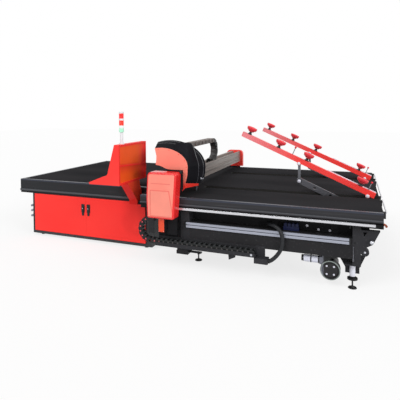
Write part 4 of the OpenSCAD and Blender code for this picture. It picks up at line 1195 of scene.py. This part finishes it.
@dataclass
class Gantry(SubAssembly):
    """Travelling beam, its carriages and drive, and the glossy servo cover in front."""

    left: float = -2330.0
    top: float = 1130.0
    cover_front: float = -155.0
    cover_back: float = -15.0
    cover_fillet: float = 22.0
    wall: float = 4.0
    panel_rise: float = 3.5
    panel_top: float = 935.0
    panel_bottom: float = 640.0
    panel_left: float = -151.0
    panel_right: float = 83.0
    lean_left: float = 3.0
    lean_right: float = 50.0
    upper_left: float = -146.0
    upper_right: float = 104.0
    upper_bottom: float = 958.0
    upper_top: float = 1096.0
    groove_z: float = 1017.0
    groove_width: float = 3.5
    step_width: float = 9.0
    discs: tuple[Vec3, ...] = ((-2476.0, 1097.0, 50.0), (-2179.0, 1119.0, 28.0),
                               (-2216.0, 636.0, 28.0), (-2506.0, 636.0, 28.0),
                               (-2502.0, 850.0, 38.0))

    def dress(self) -> None:
        """Gives the gantry's nodes their finishes."""
        self.wear({"gantry_beam": Paint.BEAM, "beam_end_cap": Paint.CAP_RED,
                   "beam_rails": Paint.BEAM_RAIL, "gantry_carriages": Paint.UNDER,
                   "drive_motors": Paint.UNDER, "chain_bracket": Paint.STEEL_DARK,
                   "front_pinion": Paint.RACK, "rear_pinion": Paint.RACK})

    def cover_outline(self, count: int = 360) -> Array:
        """Walks evenly round the tight band that wraps the discs.

        Each disc is x, z and radius. In each direction n the band touches the disc with the
        largest c . n + r, at the point c + r n; those points are then spaced evenly along it.

        Args:
            count: How many points to give back, the last repeating the first.

        Returns:
            The outline in (x, z), anticlockwise.
        """
        discs = np.array(self.discs)
        centres, radii = discs[:, :2], discs[:, 2]
        angle = np.linspace(0.0, 2 * np.pi, 1441)
        normal = np.stack([np.cos(angle), np.sin(angle)], axis=1)
        pick = np.argmax(normal @ centres.T + radii, axis=1)
        band = centres[pick] + radii[pick, None] * normal
        reach = Shapes.reach(band)
        even = np.linspace(0.0, reach[-1], count)
        return np.stack([np.interp(even, reach, band[:, k]) for k in range(2)], axis=1)

    def panel(self, x: Array, z: Array) -> Array:
        """Gives how far the cover's front stands out at (x, z).

        Inside a four-sided panel, whose left and right sides lean to the right on the way
        down, the front rises towards panel_rise; each side is a smooth step. Above it lies a
        flatter panel with one groove across it, a bell curve.

        Args:
            x: Places across.
            z: Heights.

        Returns:
            The rise in millimetres.
        """
        def step(distance: Array) -> Array:
            """Goes smoothly from 0 to 1 while distance goes through one step's width."""
            t = np.clip(distance / self.step_width + 0.5, 0.0, 1.0)
            return t * t * (3 - 2 * t)

        x = x - self.left
        down = (self.panel_top - z) / (self.panel_top - self.panel_bottom)
        inside = (step(self.panel_top - z) * step(z - self.panel_bottom)
                  * step(x - self.panel_left - self.lean_left * down)
                  * step(self.panel_right + self.lean_right * down - x))
        upper = (step(z - self.upper_bottom) * step(self.upper_top - z)
                 * step(x - self.upper_left) * step(self.upper_right - x))
        groove = np.exp(-((z - self.groove_z) / self.groove_width) ** 2) * upper
        return self.panel_rise * (0.72 * inside + 0.5 * upper - 0.45 * groove) + 0.4

    def front_finish(self) -> Finish:
        """Mixes the cover's front finish: a salmon painted reflection on the red paint, with
        painted shade in the grooves round its panels and the red paint again along the top.

        Returns:
            The finish.
        """
        x, top = self.left, self.panel_top

        def panel(grow: float, soft: float) -> tuple[Edge, ...]:
            """Gives the panel's four borders, moved outwards by grow."""
            left, right = x + self.panel_left - grow, x + self.panel_right + grow
            return (self.below(top + grow, soft), self.above(self.panel_bottom - grow, soft),
                    self.edge((1.0, 0.0, -0.01), (left, 0, top), soft),
                    self.edge((-1.0, 0.0, -0.17), (right, 0, top), soft))

        # The salmon is a painted reflection on the cover's red front
        light = srgb(255, 150, 131)
        across = (self.above(self.groove_z - 5.0, 5.0), self.below(self.groove_z + 5.0, 5.0),
                  self.right_of(x + self.upper_left, 8.0),
                  self.left_of(x + self.upper_right, 8.0))
        return Finish("cover_painted_reflection", light, srgb(253, 136, 118), rough=0.3, coat=0.35,
                      spec=0.25, cloud=3.5, wear=0.04, wear_colour=srgb(255, 214, 204),
                      # Darker borders round the panel and along the groove are painted shade; the
                      # top turns back to the red paint
                      zones=(Zone(panel(7.0, 7.0), srgb(240, 108, 96), 0.34),
                             Zone(panel(-3.0, 7.0), light, 0.3),
                             Zone(across, srgb(244, 122, 108), 0.34),
                             Zone((self.above(1128.0, 10.0),), srgb(250, 84, 72), 0.26)))

    def cover(self) -> None:
        """Makes the servo cover as one shell: dished front, round rim, side and inner wall.

        The front is a fan of rings that shrink evenly onto its middle; the rim is a quarter
        circle; the side runs straight back; the inner wall follows wall mm inside it.
        """
        outline = self.cover_outline()
        middle = np.array([self.left - 12.0, 880.0])
        flat = Shapes.inset(outline, self.cover_fillet)
        shrink = np.linspace(0.0, 1.0, 64)[:, None, None]
        fan = middle + (flat[None] - middle) * shrink
        rise = self.panel(fan[..., 0], fan[..., 1])
        front = self.cover_front + self.panel_rise
        fan_y = front - rise * np.clip((1 - shrink[..., 0]) * 14.0, 0.0, 1.0)
        face = np.stack([fan[..., 0], fan_y, fan[..., 1]], axis=2)
        turn = np.linspace(0.0, np.pi / 2, 7)
        rings = [(self.cover_fillet * (1 - math.sin(a)),
                  front + self.cover_fillet * (1 - math.cos(a))) for a in turn]
        rings += [(0.0, -120.0), (0.0, -70.0), (0.0, self.cover_back),
                  (self.wall, self.cover_back), (self.wall, -70.0), (self.wall, front + 14.0),
                  (self.cover_fillet, front + self.wall)]
        side = []
        for inward, y in rings:
            ring = Shapes.inset(outline, inward)
            side.append(np.stack([ring[:, 0], np.full(len(ring), y), ring[:, 1]], axis=1))
        end = np.array([middle[0], front + self.wall, middle[1]])
        side.append(np.broadcast_to(end, side[-1].shape))
        made = self.fit("front_servo_cover", [Patch(face), Patch(np.stack(side), 1)],
                        [self.front_finish(), Paint.COVER_RIM], "servo_cover", "gantry",
                        crease=50.0)
        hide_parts("servo_cover")

    def build(self) -> None:
        """Makes the bare orange plate, the cover's hinge and the screws of both beam ends."""
        x, z = self.left - 45.0, 517.0
        plate = Shapes.plate(Shapes.round_rect(72.0, 154.0, 5.0), 3.4, 1.0)
        pin = [(0.0, 0.0), (2.6, 0.0), (2.6, 1.2), (1.6, 2.0), (0.0, 2.0)]
        corners = [(x + a * 29.0, -89.4, z + b * 69.0) for a in (-1, 1) for b in (-1, 1)]
        self.fit("motor_plate", [Patch.placed(plate, (x, -86.2, z), RIGHT, UP, FRONT),
                                 Patch.turned(pin, 10, corners, FRONT, 1)],
                 [Paint.ORANGE_PLATE, Paint.ZINC], "drive_motors", "gantry")
        leaf = Shapes.box((self.left + 168.0, -34.0, 1122.0),
                          (self.left + 194.0, -15.2, 1160.0), 3.0)
        knuckle = [(0.0, 0.0), (7.5, 0.0), (8.0, 1.0), (8.0, 22.0), (7.5, 23.0), (4.0, 23.0),
                   (4.0, 26.0), (0.0, 26.0)]
        place = (self.left + 183.0, -34.0, self.top)
        self.fit("cover_hinge", [Patch(leaf), Patch.turned(knuckle, 18, place, UP)],
                 [Paint.BLACK_PLASTIC], "gantry_carriages", "gantry")
        self.screws("end_cap_screws", [(self.left + dx, 2715.0, z)
                                       for dx, z in ((-60.0, 890.0), (175.0, 890.0),
                                                     (-20.0, 1105.0), (135.0, 1105.0))],
                    BACK, 7.0, Paint.ZINC, "beam_end_cap", "gantry")
        self.screws("end_plate_screws", [(self.left + 172.0, -15.0, z)
                                         for z in (960.0, 1015.0, 1070.0)],
                    FRONT, 5.0, Paint.BLACK_PLASTIC, "gantry_carriages", "gantry")


@dataclass
class CuttingHead(SubAssembly):
    """Cutting head: cheek, glossy hood with its chain fairing, and the cutter."""

    left: float = -2330.0
    top: float = 1130.0
    half_width: float = 340.0
    crown: float = 216.0
    widen: float = 144.0
    flare: float = 110.0
    front: float = 46.0
    depth: float = 554.0
    skin: float = 7.0
    middle_x: float = -100.0
    middle_z: float = 69.0
    middle_shift: tuple[float, float] = (-130.0, -64.0)
    crown_left: float = -187.0
    crown_shift: float = -243.0
    hem_low: float = 120.0
    hem_fall: float = 100.0
    draw: float = 29.0
    draw_rear: float = 42.0
    chain_top: float = 1463.0
    chain_end: float = 295.0
    chain_round: float = 190.0
    hump_left: float = -2356.0
    hump_right: float = -2088.0
    hump_front: float = 120.0
    ramp_left: float = 54.0
    ramp_right: float = 104.0
    ramp_front: float = 126.0
    beads: tuple[float, ...] = (372.0, 532.0)
    bead_width: float = 9.0
    bead_height: float = 5.0
    lip_start: float = 584.0
    lip_width: float = 8.0
    lip_height: float = 4.0

    def dress(self) -> None:
        """Gives the head's CAD nodes their finishes; the cheek's salmon is a painted reflection
        on its red paint, which shows at its foot.
        """
        foot = Zone((self.below(1010.0, 80.0),), srgb(252, 58, 46), 0.34)
        # Salmon over the cheek is a painted reflection; the foot zone is its red paint
        cheek = Finish("cheek_painted_reflection", srgb(255, 142, 122), srgb(252, 132, 114), rough=0.4,
                       coat=0.3, cloud=2.5, wear=0.03, wear_colour=srgb(255, 200, 190),
                       zones=(foot,))
        self.wear({"head_cheek": cheek, "head_carriage": Paint.STEEL_DARK,
                   "cutter_slide": Paint.LIFT_STEEL, "cutter_holder": Paint.LIFT_STEEL,
                   "cutting_wheel": Paint.RACK})

    def outline(self, v: Array, shrink: Array, arc: int = 150, side: int = 44) -> Array:
        """Gives the hood's section at stations v, shrunk inwards.

        The crown is an arc of an ellipse whose middle, width and height change evenly with
        v; from its right end the side falls to the hem and draws in with the cube of the
        way down, and more at the rear, with the eighth power of v. Over the chain's end the
        crown lifts to chain_top between smooth ramps, and behind chain_end it falls along a
        circle of radius chain_round.

        Args:
            v: Stations from 0 in front to 1 at the rear.
            shrink: How far each station's section is shrunk.
            arc: Points on the crown.
            side: Points on the side.

        Returns:
            Points (stations, arc + side, 3).
        """
        v, e = v[:, None], shrink[:, None]
        cx = self.left + self.middle_x + self.middle_shift[0] * v
        cz = self.top + self.middle_z + self.middle_shift[1] * v
        rx = self.half_width + self.widen * v - e
        rz = self.crown + self.flare * v - e
        first = np.arccos((self.left + self.crown_left + self.crown_shift * v - cx) / rx)
        a = first * (1 - np.linspace(0.0, 1.0, arc)[None])
        x, z = cx + rx * np.cos(a), cz + rz * np.sin(a)
        y = self.front + self.depth * v + 0 * x

        def ramp(t: Array) -> Array:
            """Goes smoothly from 0 to 1 with t."""
            t = np.clip(t, 0.0, 1.0)
            return t * t * t * (t * (6 * t - 15) + 10)

        past = np.clip(np.maximum(y - self.chain_end, 0.0) / self.chain_round, 0.0, 1.0)
        target = self.chain_top - self.chain_round * (1.0 - np.sqrt(1.0 - past ** 2))
        lift = (ramp((x - self.hump_left) / self.ramp_left)
                * ramp((self.hump_right - x) / self.ramp_right)
                * ramp((y - self.hump_front) / self.ramp_front))
        z = z + np.maximum(target - e - z, 0.0) * lift
        down = np.linspace(0.0, 1.0, side + 1)[None, 1:]
        hem = self.top - self.hem_low - self.hem_fall * v
        sx = cx + rx - (self.draw + self.draw_rear * v ** 8) * down ** 3
        sz = cz - (cz - hem) * down
        xs, zs = np.concatenate([x, sx], axis=1), np.concatenate([z, sz], axis=1)
        return np.stack([xs, self.front + self.depth * v + 0 * xs, zs], axis=2)

    def hood(self) -> None:
        """Makes the hood as one closed shell with two beads, painted a lighter grey as a
        highlight, and a lip at the rear.

        A bead lets the section grow by a bell curve of the place along the head. Outer and
        inner skins run round as one loop at each station, and a strip closes each end.
        """
        v = np.linspace(0.0, 1.0, 96)
        y = self.front + self.depth * v
        grow = sum(self.bead_height * np.exp(-((y - bead) / self.bead_width) ** 2)
                   for bead in self.beads)
        lip = np.clip((y - self.lip_start) / self.lip_width, 0.0, 1.0)
        grow = grow + self.lip_height * lip
        outer = self.outline(v, -grow)
        inner = self.outline(v, np.full_like(v, self.skin))
        loop = np.concatenate([outer, inner[:, ::-1], outer[:, :1]], axis=1)
        skins, low = [], 0
        # Faces on the beads take the second finish, a painted highlight
        away = np.min(np.abs(y[:, None] - np.array(self.beads)), axis=1)
        near = away < self.bead_width
        for high in [*(np.flatnonzero(np.diff(near.astype(int))) + 1), len(v) - 1]:
            skins.append(Patch(loop[low:high + 1], int(near[low])))
            low = int(high)
        ends = [Patch(np.stack([outer[k], inner[k]])) for k in (0, -1)]
        made = self.fit("head_hood", [*skins, *ends], [Paint.BLACK_GLOSS, Paint.BEAD_HIGHLIGHT],
                        "head_shell", "head", crease=40.0)
        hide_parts("head_shell")

    def build(self) -> None:
        """Makes the hood's two side bolts and the screws along the cheek's rim."""
        section = self.outline(np.array([0.8, 0.92]), np.zeros(2))
        places = section[:, -13] + np.array([0.5, 0.0, 0.0])
        self.screws("hood_bolts", places, (1.0, 0.0, -0.1), 13.0, Paint.ZINC, "head_shell",
                    "head")
        rim = self.outline(np.array([0.0]), np.array([16.0]))[0]
        places = rim[[12, 48, 84, 120, 150]]
        places[:, 1] = 40.0
        self.screws("cheek_screws", places, FRONT, 3.6, Paint.CAP_RED, "head_cheek", "head")


@dataclass
class CableChains(SubAssembly):
    """Energy chains of both axes: linked side plates, bars and pins along each path."""

    pitch: float = 60.0
    long_size: tuple[float, float] = (70.0, 64.0)
    long_left: float = -2556.0
    long_right: float = -1290.0
    long_middle: float = 436.0
    long_radius: float = 132.0
    cross_pitch: float = 66.0
    cross_size: tuple[float, float] = (100.0, 60.0)
    cross_x: float = -2240.0
    cross_back: float = 1295.0
    cross_middle: float = 1273.0
    cross_radius: float = 148.0
    lid: float = 0.9
    plate_thick: float = 4.0
    plate_insets: tuple[float, float] = (0.4, 5.0)
    bar_thick: float = 5.0
    pin_radius: float = 10.5
    pin_rise: float = 0.9

    def links(self, path: Array, across: Array, width: float, height: float,
              cover: float) -> list[Patch]:
        """Makes the links of one chain along a path.

        Each link has two slot-shaped side plates, set further in on every other link, a
        rounded bar over it and one under it, and a round pin cap on each side at its first
        joint.

        Args:
            path: The joints' centres, one more than there are links.
            across: Unit direction across the chain.
            width: Whole width.
            height: Whole height.
            cover: A bar's length as a part of the pitch.

        Returns:
            Patches: 0 plates, 1 bars, 2 pins.
        """
        step = np.diff(path, axis=0)
        length = np.linalg.norm(step, axis=1, keepdims=True)
        along = step / length
        rise = np.cross(across, along)
        middle = (path[1:] + path[:-1]) / 2
        pitch = float(length.mean())
        slot = Shapes.stadium(pitch + height * 0.42, height * 0.84, 5)
        plate = Shapes.plate(slot, self.plate_thick, 1.2, 2)
        block = Shapes.round_rect(pitch * cover, width - 10.0, 3.0, 2)
        bar = Shapes.plate(block, self.bar_thick, 1.5, 2)
        radius, cap = self.pin_radius, self.pin_rise
        pin = Shapes.turned(np.array([[0.0, -4.0], [radius, -4.0], [radius, 0.0], [9.2, cap],
                                      [0.0, cap]]), 10)
        patches = []
        for start, inset in enumerate(self.plate_insets):
            for side in (-across, across):
                foot = middle[start::2] + side * (width / 2 - inset)
                up = np.cross(side, along[start::2])
                patches.append(Patch.placed(plate, foot, along[start::2], up, -side))
        for up in (-rise, rise):
            foot = middle + up * (height / 2 - self.bar_thick)
            patches.append(Patch.placed(bar, foot, along, across, up, 1))
        for side in (-across, across):
            foot = path[:-1] + side * (width / 2 - cap)
            patches.append(Patch.placed(pin, foot, along, rise, side, 2))
        return patches

    def chain(self, name: str, path: Array, across: Vec3, size: tuple[float, float],
              finishes: list[Finish], slot: str, cover: float = 0.34) -> bpy.types.Object:
        """Makes one stretch of chain as a piece."""
        patches = self.links(path, np.array(across, dtype=float), *size, cover)
        return self.bench.piece(name, patches, finishes, slot, 35.0)

    @staticmethod
    def straight(first: Vec3, last: Vec3, pitch: float) -> Array:
        """Spaces joints evenly on a straight line: first + (last - first) k / count.

        Args:
            first: The first joint.
            last: The last joint.
            pitch: About how far apart they lie.

        Returns:
            The joints.
        """
        a, b = np.array(first, dtype=float), np.array(last, dtype=float)
        count = max(1, round(float(np.linalg.norm(b - a)) / pitch))
        return a + (b - a) * np.linspace(0.0, 1.0, count + 1)[:, None]

    def long_axis(self) -> None:
        """Makes the long axis chain: its bend under the gantry and its lower run.

        The bend's joints lie on a half circle, centre + r (cos a, sin a), a from 90 to 270.
        """
        x, z, radius = self.long_left, self.long_middle, self.long_radius
        pins = Finish("chain_pin_rose", srgb(222, 84, 92), srgb(196, 66, 78), rough=0.4,
                      cloud=18.0, grain=Grain.CAST,
                      zones=(Zone((self.right_of(-2480.0, 220.0),), srgb(92, 88, 88), 0.4),))
        plates = Finish("chain_plate_black", srgb(26, 28, 29), srgb(18, 20, 21), rough=0.42,
                        cloud=16.0, grain=Grain.CAST, wear=0.15)
        bars = Finish("chain_bar_grey", srgb(66, 68, 70), srgb(48, 50, 52), rough=0.4,
                      cloud=16.0, grain=Grain.CAST, wear=0.2)
        finishes = [plates, bars, pins]
        angle = np.radians(np.linspace(90.0, 270.0, 8))
        path = np.stack([x + radius * np.cos(angle), 0 * angle, z + radius * np.sin(angle)],
                        axis=1)
        bend = self.chain("long_chain_bend", path[::-1], FRONT, self.long_size, finishes,
                          "x_chain_bend")
        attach(bend, "x_chain_bend")
        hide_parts("x_chain_bend")
        path = self.straight((x, 0.0, z - radius), (self.long_right, 0.0, z - radius),
                             self.pitch)
        run = self.chain("long_chain_run", path, FRONT, self.long_size, finishes,
                         "x_chain_run")
        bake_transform(run)
        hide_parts("x_chain_run")

    def cross_axis(self) -> None:
        """Makes the cross axis chain: top run over the beam, its bend and its lower run.

        The bend's joints lie on an arc, centre + r (cos a, sin a), a from 85 to -85.
        """
        plates = Finish("chain_plate_taupe", srgb(104, 95, 90), srgb(84, 77, 73), rough=0.5,
                        cloud=12.0, grain=Grain.CAST, wear=0.15)
        bars = replace(plates, name="chain_bar_taupe", colour=srgb(128, 118, 112),
                       second=srgb(108, 99, 94))
        dark = Finish("chain_plate_dark", srgb(40, 41, 42), srgb(28, 29, 30), rough=0.42,
                      cloud=14.0, grain=Grain.CAST, wear=0.15)
        lids = replace(dark, name="chain_lid_dark", colour=srgb(62, 60, 60),
                       second=srgb(48, 47, 47))
        x, z, radius, back = (self.cross_x, self.cross_middle, self.cross_radius,
                              self.cross_back)
        path = self.straight((x, 290.0, z + radius), (x, back, z + radius), self.cross_pitch)
        top = self.chain("cross_chain_top", path, RIGHT, self.cross_size,
                         [plates, bars, dark], "y_chain_top", 0.86)
        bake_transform(top)
        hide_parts("y_chain_top")
        angle = np.radians(np.linspace(85.0, -85.0, 9))
        path = np.stack([x + 0 * angle, back + radius * np.cos(angle),
                         z + radius * np.sin(angle)], axis=1)
        bend = self.chain("cross_chain_bend", path, RIGHT, self.cross_size,
                          [dark, lids, plates], "y_chain_bend", self.lid)
        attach(bend, "y_chain_bend")
        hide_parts("y_chain_bend")
        path = self.straight((x, 1235.0, z - radius), (x, back, z - radius),
                             self.cross_pitch)
        run = self.chain("cross_chain_run", path, RIGHT, self.cross_size,
                         [dark, lids, plates], "y_chain_run", self.lid)
        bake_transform(run)
        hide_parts("y_chain_run")


@dataclass
class Loader(SubAssembly):
    """Tilting suction arms on their levers and links, with cups and sensors."""

    slope: float = 24.0
    flip_x: float = -125.0
    flip_z: float = 635.0
    link: float = 220.0
    lever: float = 850.0
    arm_low: float = 4.0
    arm_high: float = 68.0
    arm_width: float = 40.0
    arm_length: float = 1705.0
    tail: float = 70.0
    slots: tuple[float, float] = (745.0, 2010.0)
    cups: tuple[float, ...] = (120.0, 785.0, 1155.0, 1555.0)
    cup_foot: float = 105.0

    def axes(self) -> tuple[Array, Array]:
        """Gives the directions along the arms, towards the tail, and square to them."""
        a = math.radians(self.slope)
        return (np.array([math.cos(a), 0.0, -math.sin(a)]),
                np.array([math.sin(a), 0.0, math.cos(a)]))

    def on_arm(self, along: float, side: float, rise: float, slot: float) -> Vec3:
        """Gives a layout point counted from an arm's tail pivot.

        Args:
            along: How far along the arm, towards its tail.
            side: How far away from the front.
            rise: How far square to the arm.
            slot: The arm's place in y.

        Returns:
            The point.
        """
        u, w = self.axes()
        foot = np.array([self.flip_x, slot + side, self.flip_z + self.link])
        return tuple(foot + u * along + w * rise)

    def dress(self) -> None:
        """Gives the loader's nodes their finishes; stems are black, rods end in red, and the arms
        turn pink towards the left as a painted highlight.
        """
        up = tuple(float(part) for part in self.axes()[1])
        # Pink towards the arms' left ends is a painted highlight on the red paint
        far = Zone((self.left_of(-1250.0, 700.0),), srgb(252, 144, 150), 0.42)
        stem = Zone((self.edge(up, self.on_arm(0.0, 0.0, self.arm_high + 0.4, 0.0)),),
                    srgb(26, 28, 30), 0.45)
        ball = Zone((self.edge(up, self.on_arm(0.0, 0.0, 147.0, 0.0)),), srgb(214, 48, 60),
                    0.4)
        arms = Finish("arm_red", srgb(255, 64, 58), srgb(250, 56, 52), rough=0.4, coat=0.25,
                      cloud=3.0, wear=0.04, wear_colour=srgb(255, 170, 165),
                      zones=(far, stem))
        rods = Finish("sensor_rod", srgb(150, 152, 156), srgb(120, 122, 128), rough=0.3,
                      metal=0.5, cloud=20.0, grain=Grain.CAST, zones=(ball,))
        self.wear({"lift_levers": Paint.LIFT_STEEL, "mid_links": Paint.RACK,
                   "end_links": Paint.LIFT_STEEL, "suction_arms": arms, "sensor_rods": rods})

    def suction(self) -> None:
        """Turns the bell cups, with a thin lip and a dished face, their nuts and sleeves."""
        u, w = self.axes()
        bell = Shapes.turned(np.array([
            [0.0, 0.0], [30.0, 0.0], [34.0, 2.0], [35.5, 6.0], [34.0, 10.0], [36.0, 12.0],
            [47.0, 14.5], [55.0, 19.5], [60.5, 27.0], [63.0, 35.0], [64.4, 44.0],
            [65.0, 51.0], [64.5, 54.0], [63.0, 55.0], [61.0, 54.2], [56.0, 51.0],
            [48.0, 48.5], [36.0, 47.0], [34.5, 48.6], [32.5, 48.6], [31.0, 46.6],
            [16.0, 46.0], [14.0, 44.0], [0.0, 44.0]]), 40)
        places = np.array([self.on_arm(-s, 0.0, self.cup_foot, slot)
                           for slot in self.slots for s in self.cups])
        made = self.fit("bell_cups", [Patch.placed(bell, places, u, BACK, w)],
                        [Paint.CUP], "suction_cups", "suction_arms", crease=60.0)
        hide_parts("suction_cups")
        nut = Shapes.turned(np.array([[0.0, 0.0], [26.0, 0.0], [27.5, 1.5], [27.5, 6.5],
                                      [26.0, 8.0], [0.0, 8.0]]), 6)
        turns = [[16.5 + 1.8 * math.cos(k * math.pi), k * 2.6] for k in range(9)]
        sleeve = Shapes.turned(np.array([[10.0, 0.0], *turns, [10.0, 21.0], [10.0, 0.0]]), 18)
        foot = places - w * 37.0
        patches = [Patch.placed(nut, foot, u, BACK, w),
                   Patch.placed(sleeve, foot + w * 9.0, u, BACK, w, 1)]
        self.fit("cup_nuts", patches, [Paint.BLACK_PLASTIC, Paint.RUBBER_BLACK],
                 "suction_arms", "suction_arms", crease=30.0)

    def build(self) -> None:
        """Makes the arms' end plugs, pivot caps and silver strips."""
        u, w = self.axes()
        height = self.arm_high - self.arm_low
        plug = Shapes.plate(Shapes.round_rect(height, self.arm_width, 9.0), 16.0, 7.0, 4)
        places = [self.on_arm(self.tail - self.arm_length + 6.0, 0.0,
                              self.arm_low + height / 2, slot) for slot in self.slots]
        pink = Finish("plug_red", srgb(250, 118, 124), srgb(240, 100, 108), rough=0.42,
                      cloud=12.0, grain=Grain.CAST)
        self.fit("arm_plugs", [Patch.placed(plug, places, w, BACK, -u)], [pink],
                 "suction_arms", "suction_arms")
        dome = [(0.0, 0.0), (19.0, 0.0), (20.5, 1.2), (20.5, 5.0), (18.0, 8.5), (12.0, 11.0),
                (6.0, 12.0), (0.0, 12.2)]
        places = [self.on_arm(-s, -self.arm_width / 2 - 6.0, 0.0, slot)
                  for slot in self.slots for s in (0.0, self.lever)]
        self.fit("arm_pivot_caps", [Patch.turned(dome, 24, places, FRONT)],
                 [Paint.WHITE_METAL], "suction_arms", "suction_arms")
        a = math.radians(self.slope)
        places = [(self.flip_x - self.lever * math.cos(a), slot + 12.0,
                   self.flip_z + self.lever * math.sin(a)) for slot in self.slots]
        self.fit("lever_pivot_caps", [Patch.turned(dome, 24, places, FRONT)],
                 [Paint.WHITE_METAL], "lift_levers", "levers")
        strips = []
        for low, high in ((-520.0, -128.0), (-96.0, 68.0)):
            strip = Shapes.plate(Shapes.round_rect(high - low, 9.0, 2.0), 11.0, 1.5)
            places = [self.on_arm((low + high) / 2, self.arm_width / 2 - 6.0,
                                  self.arm_high - 0.5, slot) for slot in self.slots]
            strips.append(Patch.placed(strip, places, u, BACK, w))
        self.fit("arm_strips", strips, [Paint.WHITE_METAL], "suction_arms", "suction_arms")


@dataclass
class Studio:
    """Pale floor, soft light and the camera."""

    layout: Layout
    world_level: float = 0.52
    key_level: float = 1.12
    fill_level: float = 1.0
    glint_level: float = 0.5
    floor_white: float = 0.78
    floor_grey: float = 0.78
    soft: float = 28.0
    hard: float = 5.0
    lens: float = 35.9
    shift: float = -0.19255
    eye: Vec3 = (-281.6, -4243.2, 1856.4)
    turn: float = 0.3672
    dip: float = 0.0309
    roll: float = -0.0074

    def floor(self) -> None:
        """Makes the floor: white to the camera and to reflections, pale grey to the rest."""
        side = np.array([-30.0, 30.0])
        points = np.stack([*np.meshgrid(side, side), np.zeros((2, 2))], axis=2)
        mesh = bpy.data.meshes.new("studio_floor")
        mesh.from_pydata(points.reshape(-1, 3).tolist(), [], [(0, 1, 3, 2)])
        floor = bpy.data.objects.new("studio_floor", mesh)
        bpy.context.scene.collection.objects.link(floor)
        material = bpy.data.materials.new("studio_floor")
        material.use_nodes = True
        tree = material.node_tree
        tree.nodes.clear()
        seen = self._seen(tree)
        tint = add_node(tree, "Mix", {0: seen, 6: (*[self.floor_grey] * 3, 1.0),
                                      7: (1.0, 1.0, 1.0, 1.0)}, data_type="RGBA")
        shade = add_node(tree, "BsdfDiffuse", {0: tint.outputs[2]})
        part = add_node(tree, "Math", {0: seen, 1: self.floor_white}, operation="MULTIPLY")
        glow = add_node(tree, "Emission")
        join = add_node(tree, "MixShader", {0: part.outputs[0], 1: shade.outputs[0],
                                            2: glow.outputs[0]})
        add_node(tree, "OutputMaterial", {0: join.outputs[0]})
        mesh.materials.append(material)

    @staticmethod
    def _seen(tree: bpy.types.NodeTree) -> bpy.types.NodeSocket:
        """Tells rays from the camera, mirrors and glass from the others.

        Args:
            tree: The node tree to add to.

        Returns:
            1 for those rays and 0 for the others.
        """
        path = add_node(tree, "LightPath").outputs
        total = path["Is Camera Ray"]
        for name in ("Is Glossy Ray", "Is Transmission Ray"):
            total = add_node(tree, "Math", {0: total, 1: path[name]},
                             operation="MAXIMUM").outputs[0]
        return total

    def light(self) -> None:
        """Makes the pale surround, two soft suns and a weak, small one for highlights."""
        world = bpy.data.worlds.new("studio_surround")
        bpy.context.scene.world = world
        world.use_nodes = True
        tree = world.node_tree
        tree.nodes.clear()
        level = add_node(tree, "Mix", {0: self._seen(tree), 2: self.world_level, 3: 1.0})
        back = add_node(tree, "Background", {0: (1.0, 1.0, 1.0, 1.0), 1: level.outputs[0]})
        add_node(tree, "OutputWorld", {0: back.outputs[0]})
        for name, level, wide, tilt, turn in (
                ("key", self.key_level, self.soft, 48.0, -24.0),
                ("fill", self.fill_level, self.soft, 62.0, 70.0),
                ("glint", self.glint_level, self.hard, 82.6, 48.4)):
            data = bpy.data.lights.new(name, "SUN")
            data.energy = level
            data.angle = math.radians(wide)
            lamp = bpy.data.objects.new(name, data)
            lamp.rotation_euler = (math.radians(tilt), 0.0, math.radians(turn))
            bpy.context.scene.collection.objects.link(lamp)

    def camera(self) -> None:
        """Makes the camera: seen from in front of the right half, a little above."""
        data = bpy.data.cameras.new("camera")
        data.sensor_width = 36.0
        data.sensor_fit = "HORIZONTAL"
        data.lens = self.lens
        data.shift_y = self.shift
        data.clip_end = 120.0
        camera = bpy.data.objects.new("camera", data)
        camera.location = self.layout.point(*self.eye)
        turn = (Matrix.Rotation(self.turn, 4, "Z")
                @ Matrix.Rotation(math.pi / 2 - self.dip, 4, "X")
                @ Matrix.Rotation(self.roll, 4, "Z"))
        camera.rotation_euler = turn.to_euler()
        bpy.context.scene.collection.objects.link(camera)
        bpy.context.scene.camera = camera
        view = bpy.context.scene.view_settings
        view.view_transform = "Standard"


def main() -> None:
    """Loads the frame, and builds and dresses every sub-assembly."""
    logging.basicConfig(level=logging.INFO, format="%(name)s: %(message)s")
    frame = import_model()
    layout = Layout()
    studio = Studio(layout)
    studio.camera()
    studio.floor()
    studio.light()
    bench = Bench(layout, frame["nodes"])
    table, chassis, blower = CuttingTable(bench), Chassis(bench), Blower(bench)
    cabinet, console, gantry = Cabinet(bench), Console(bench), Gantry(bench)
    head, chains, loader = CuttingHead(bench), CableChains(bench), Loader(bench)
    for part in (table, chassis, blower, cabinet, console, gantry, head, loader):
        part.dress()
    for make in (table.build, chassis.duct, chassis.fittings, blower.build, blower.hose,
                 cabinet.build, console.build, gantry.cover, gantry.build, head.hood,
                 head.build, chains.long_axis, chains.cross_axis, loader.suction,
                 loader.build):
        make()


if __name__ == "__main__":
    main()
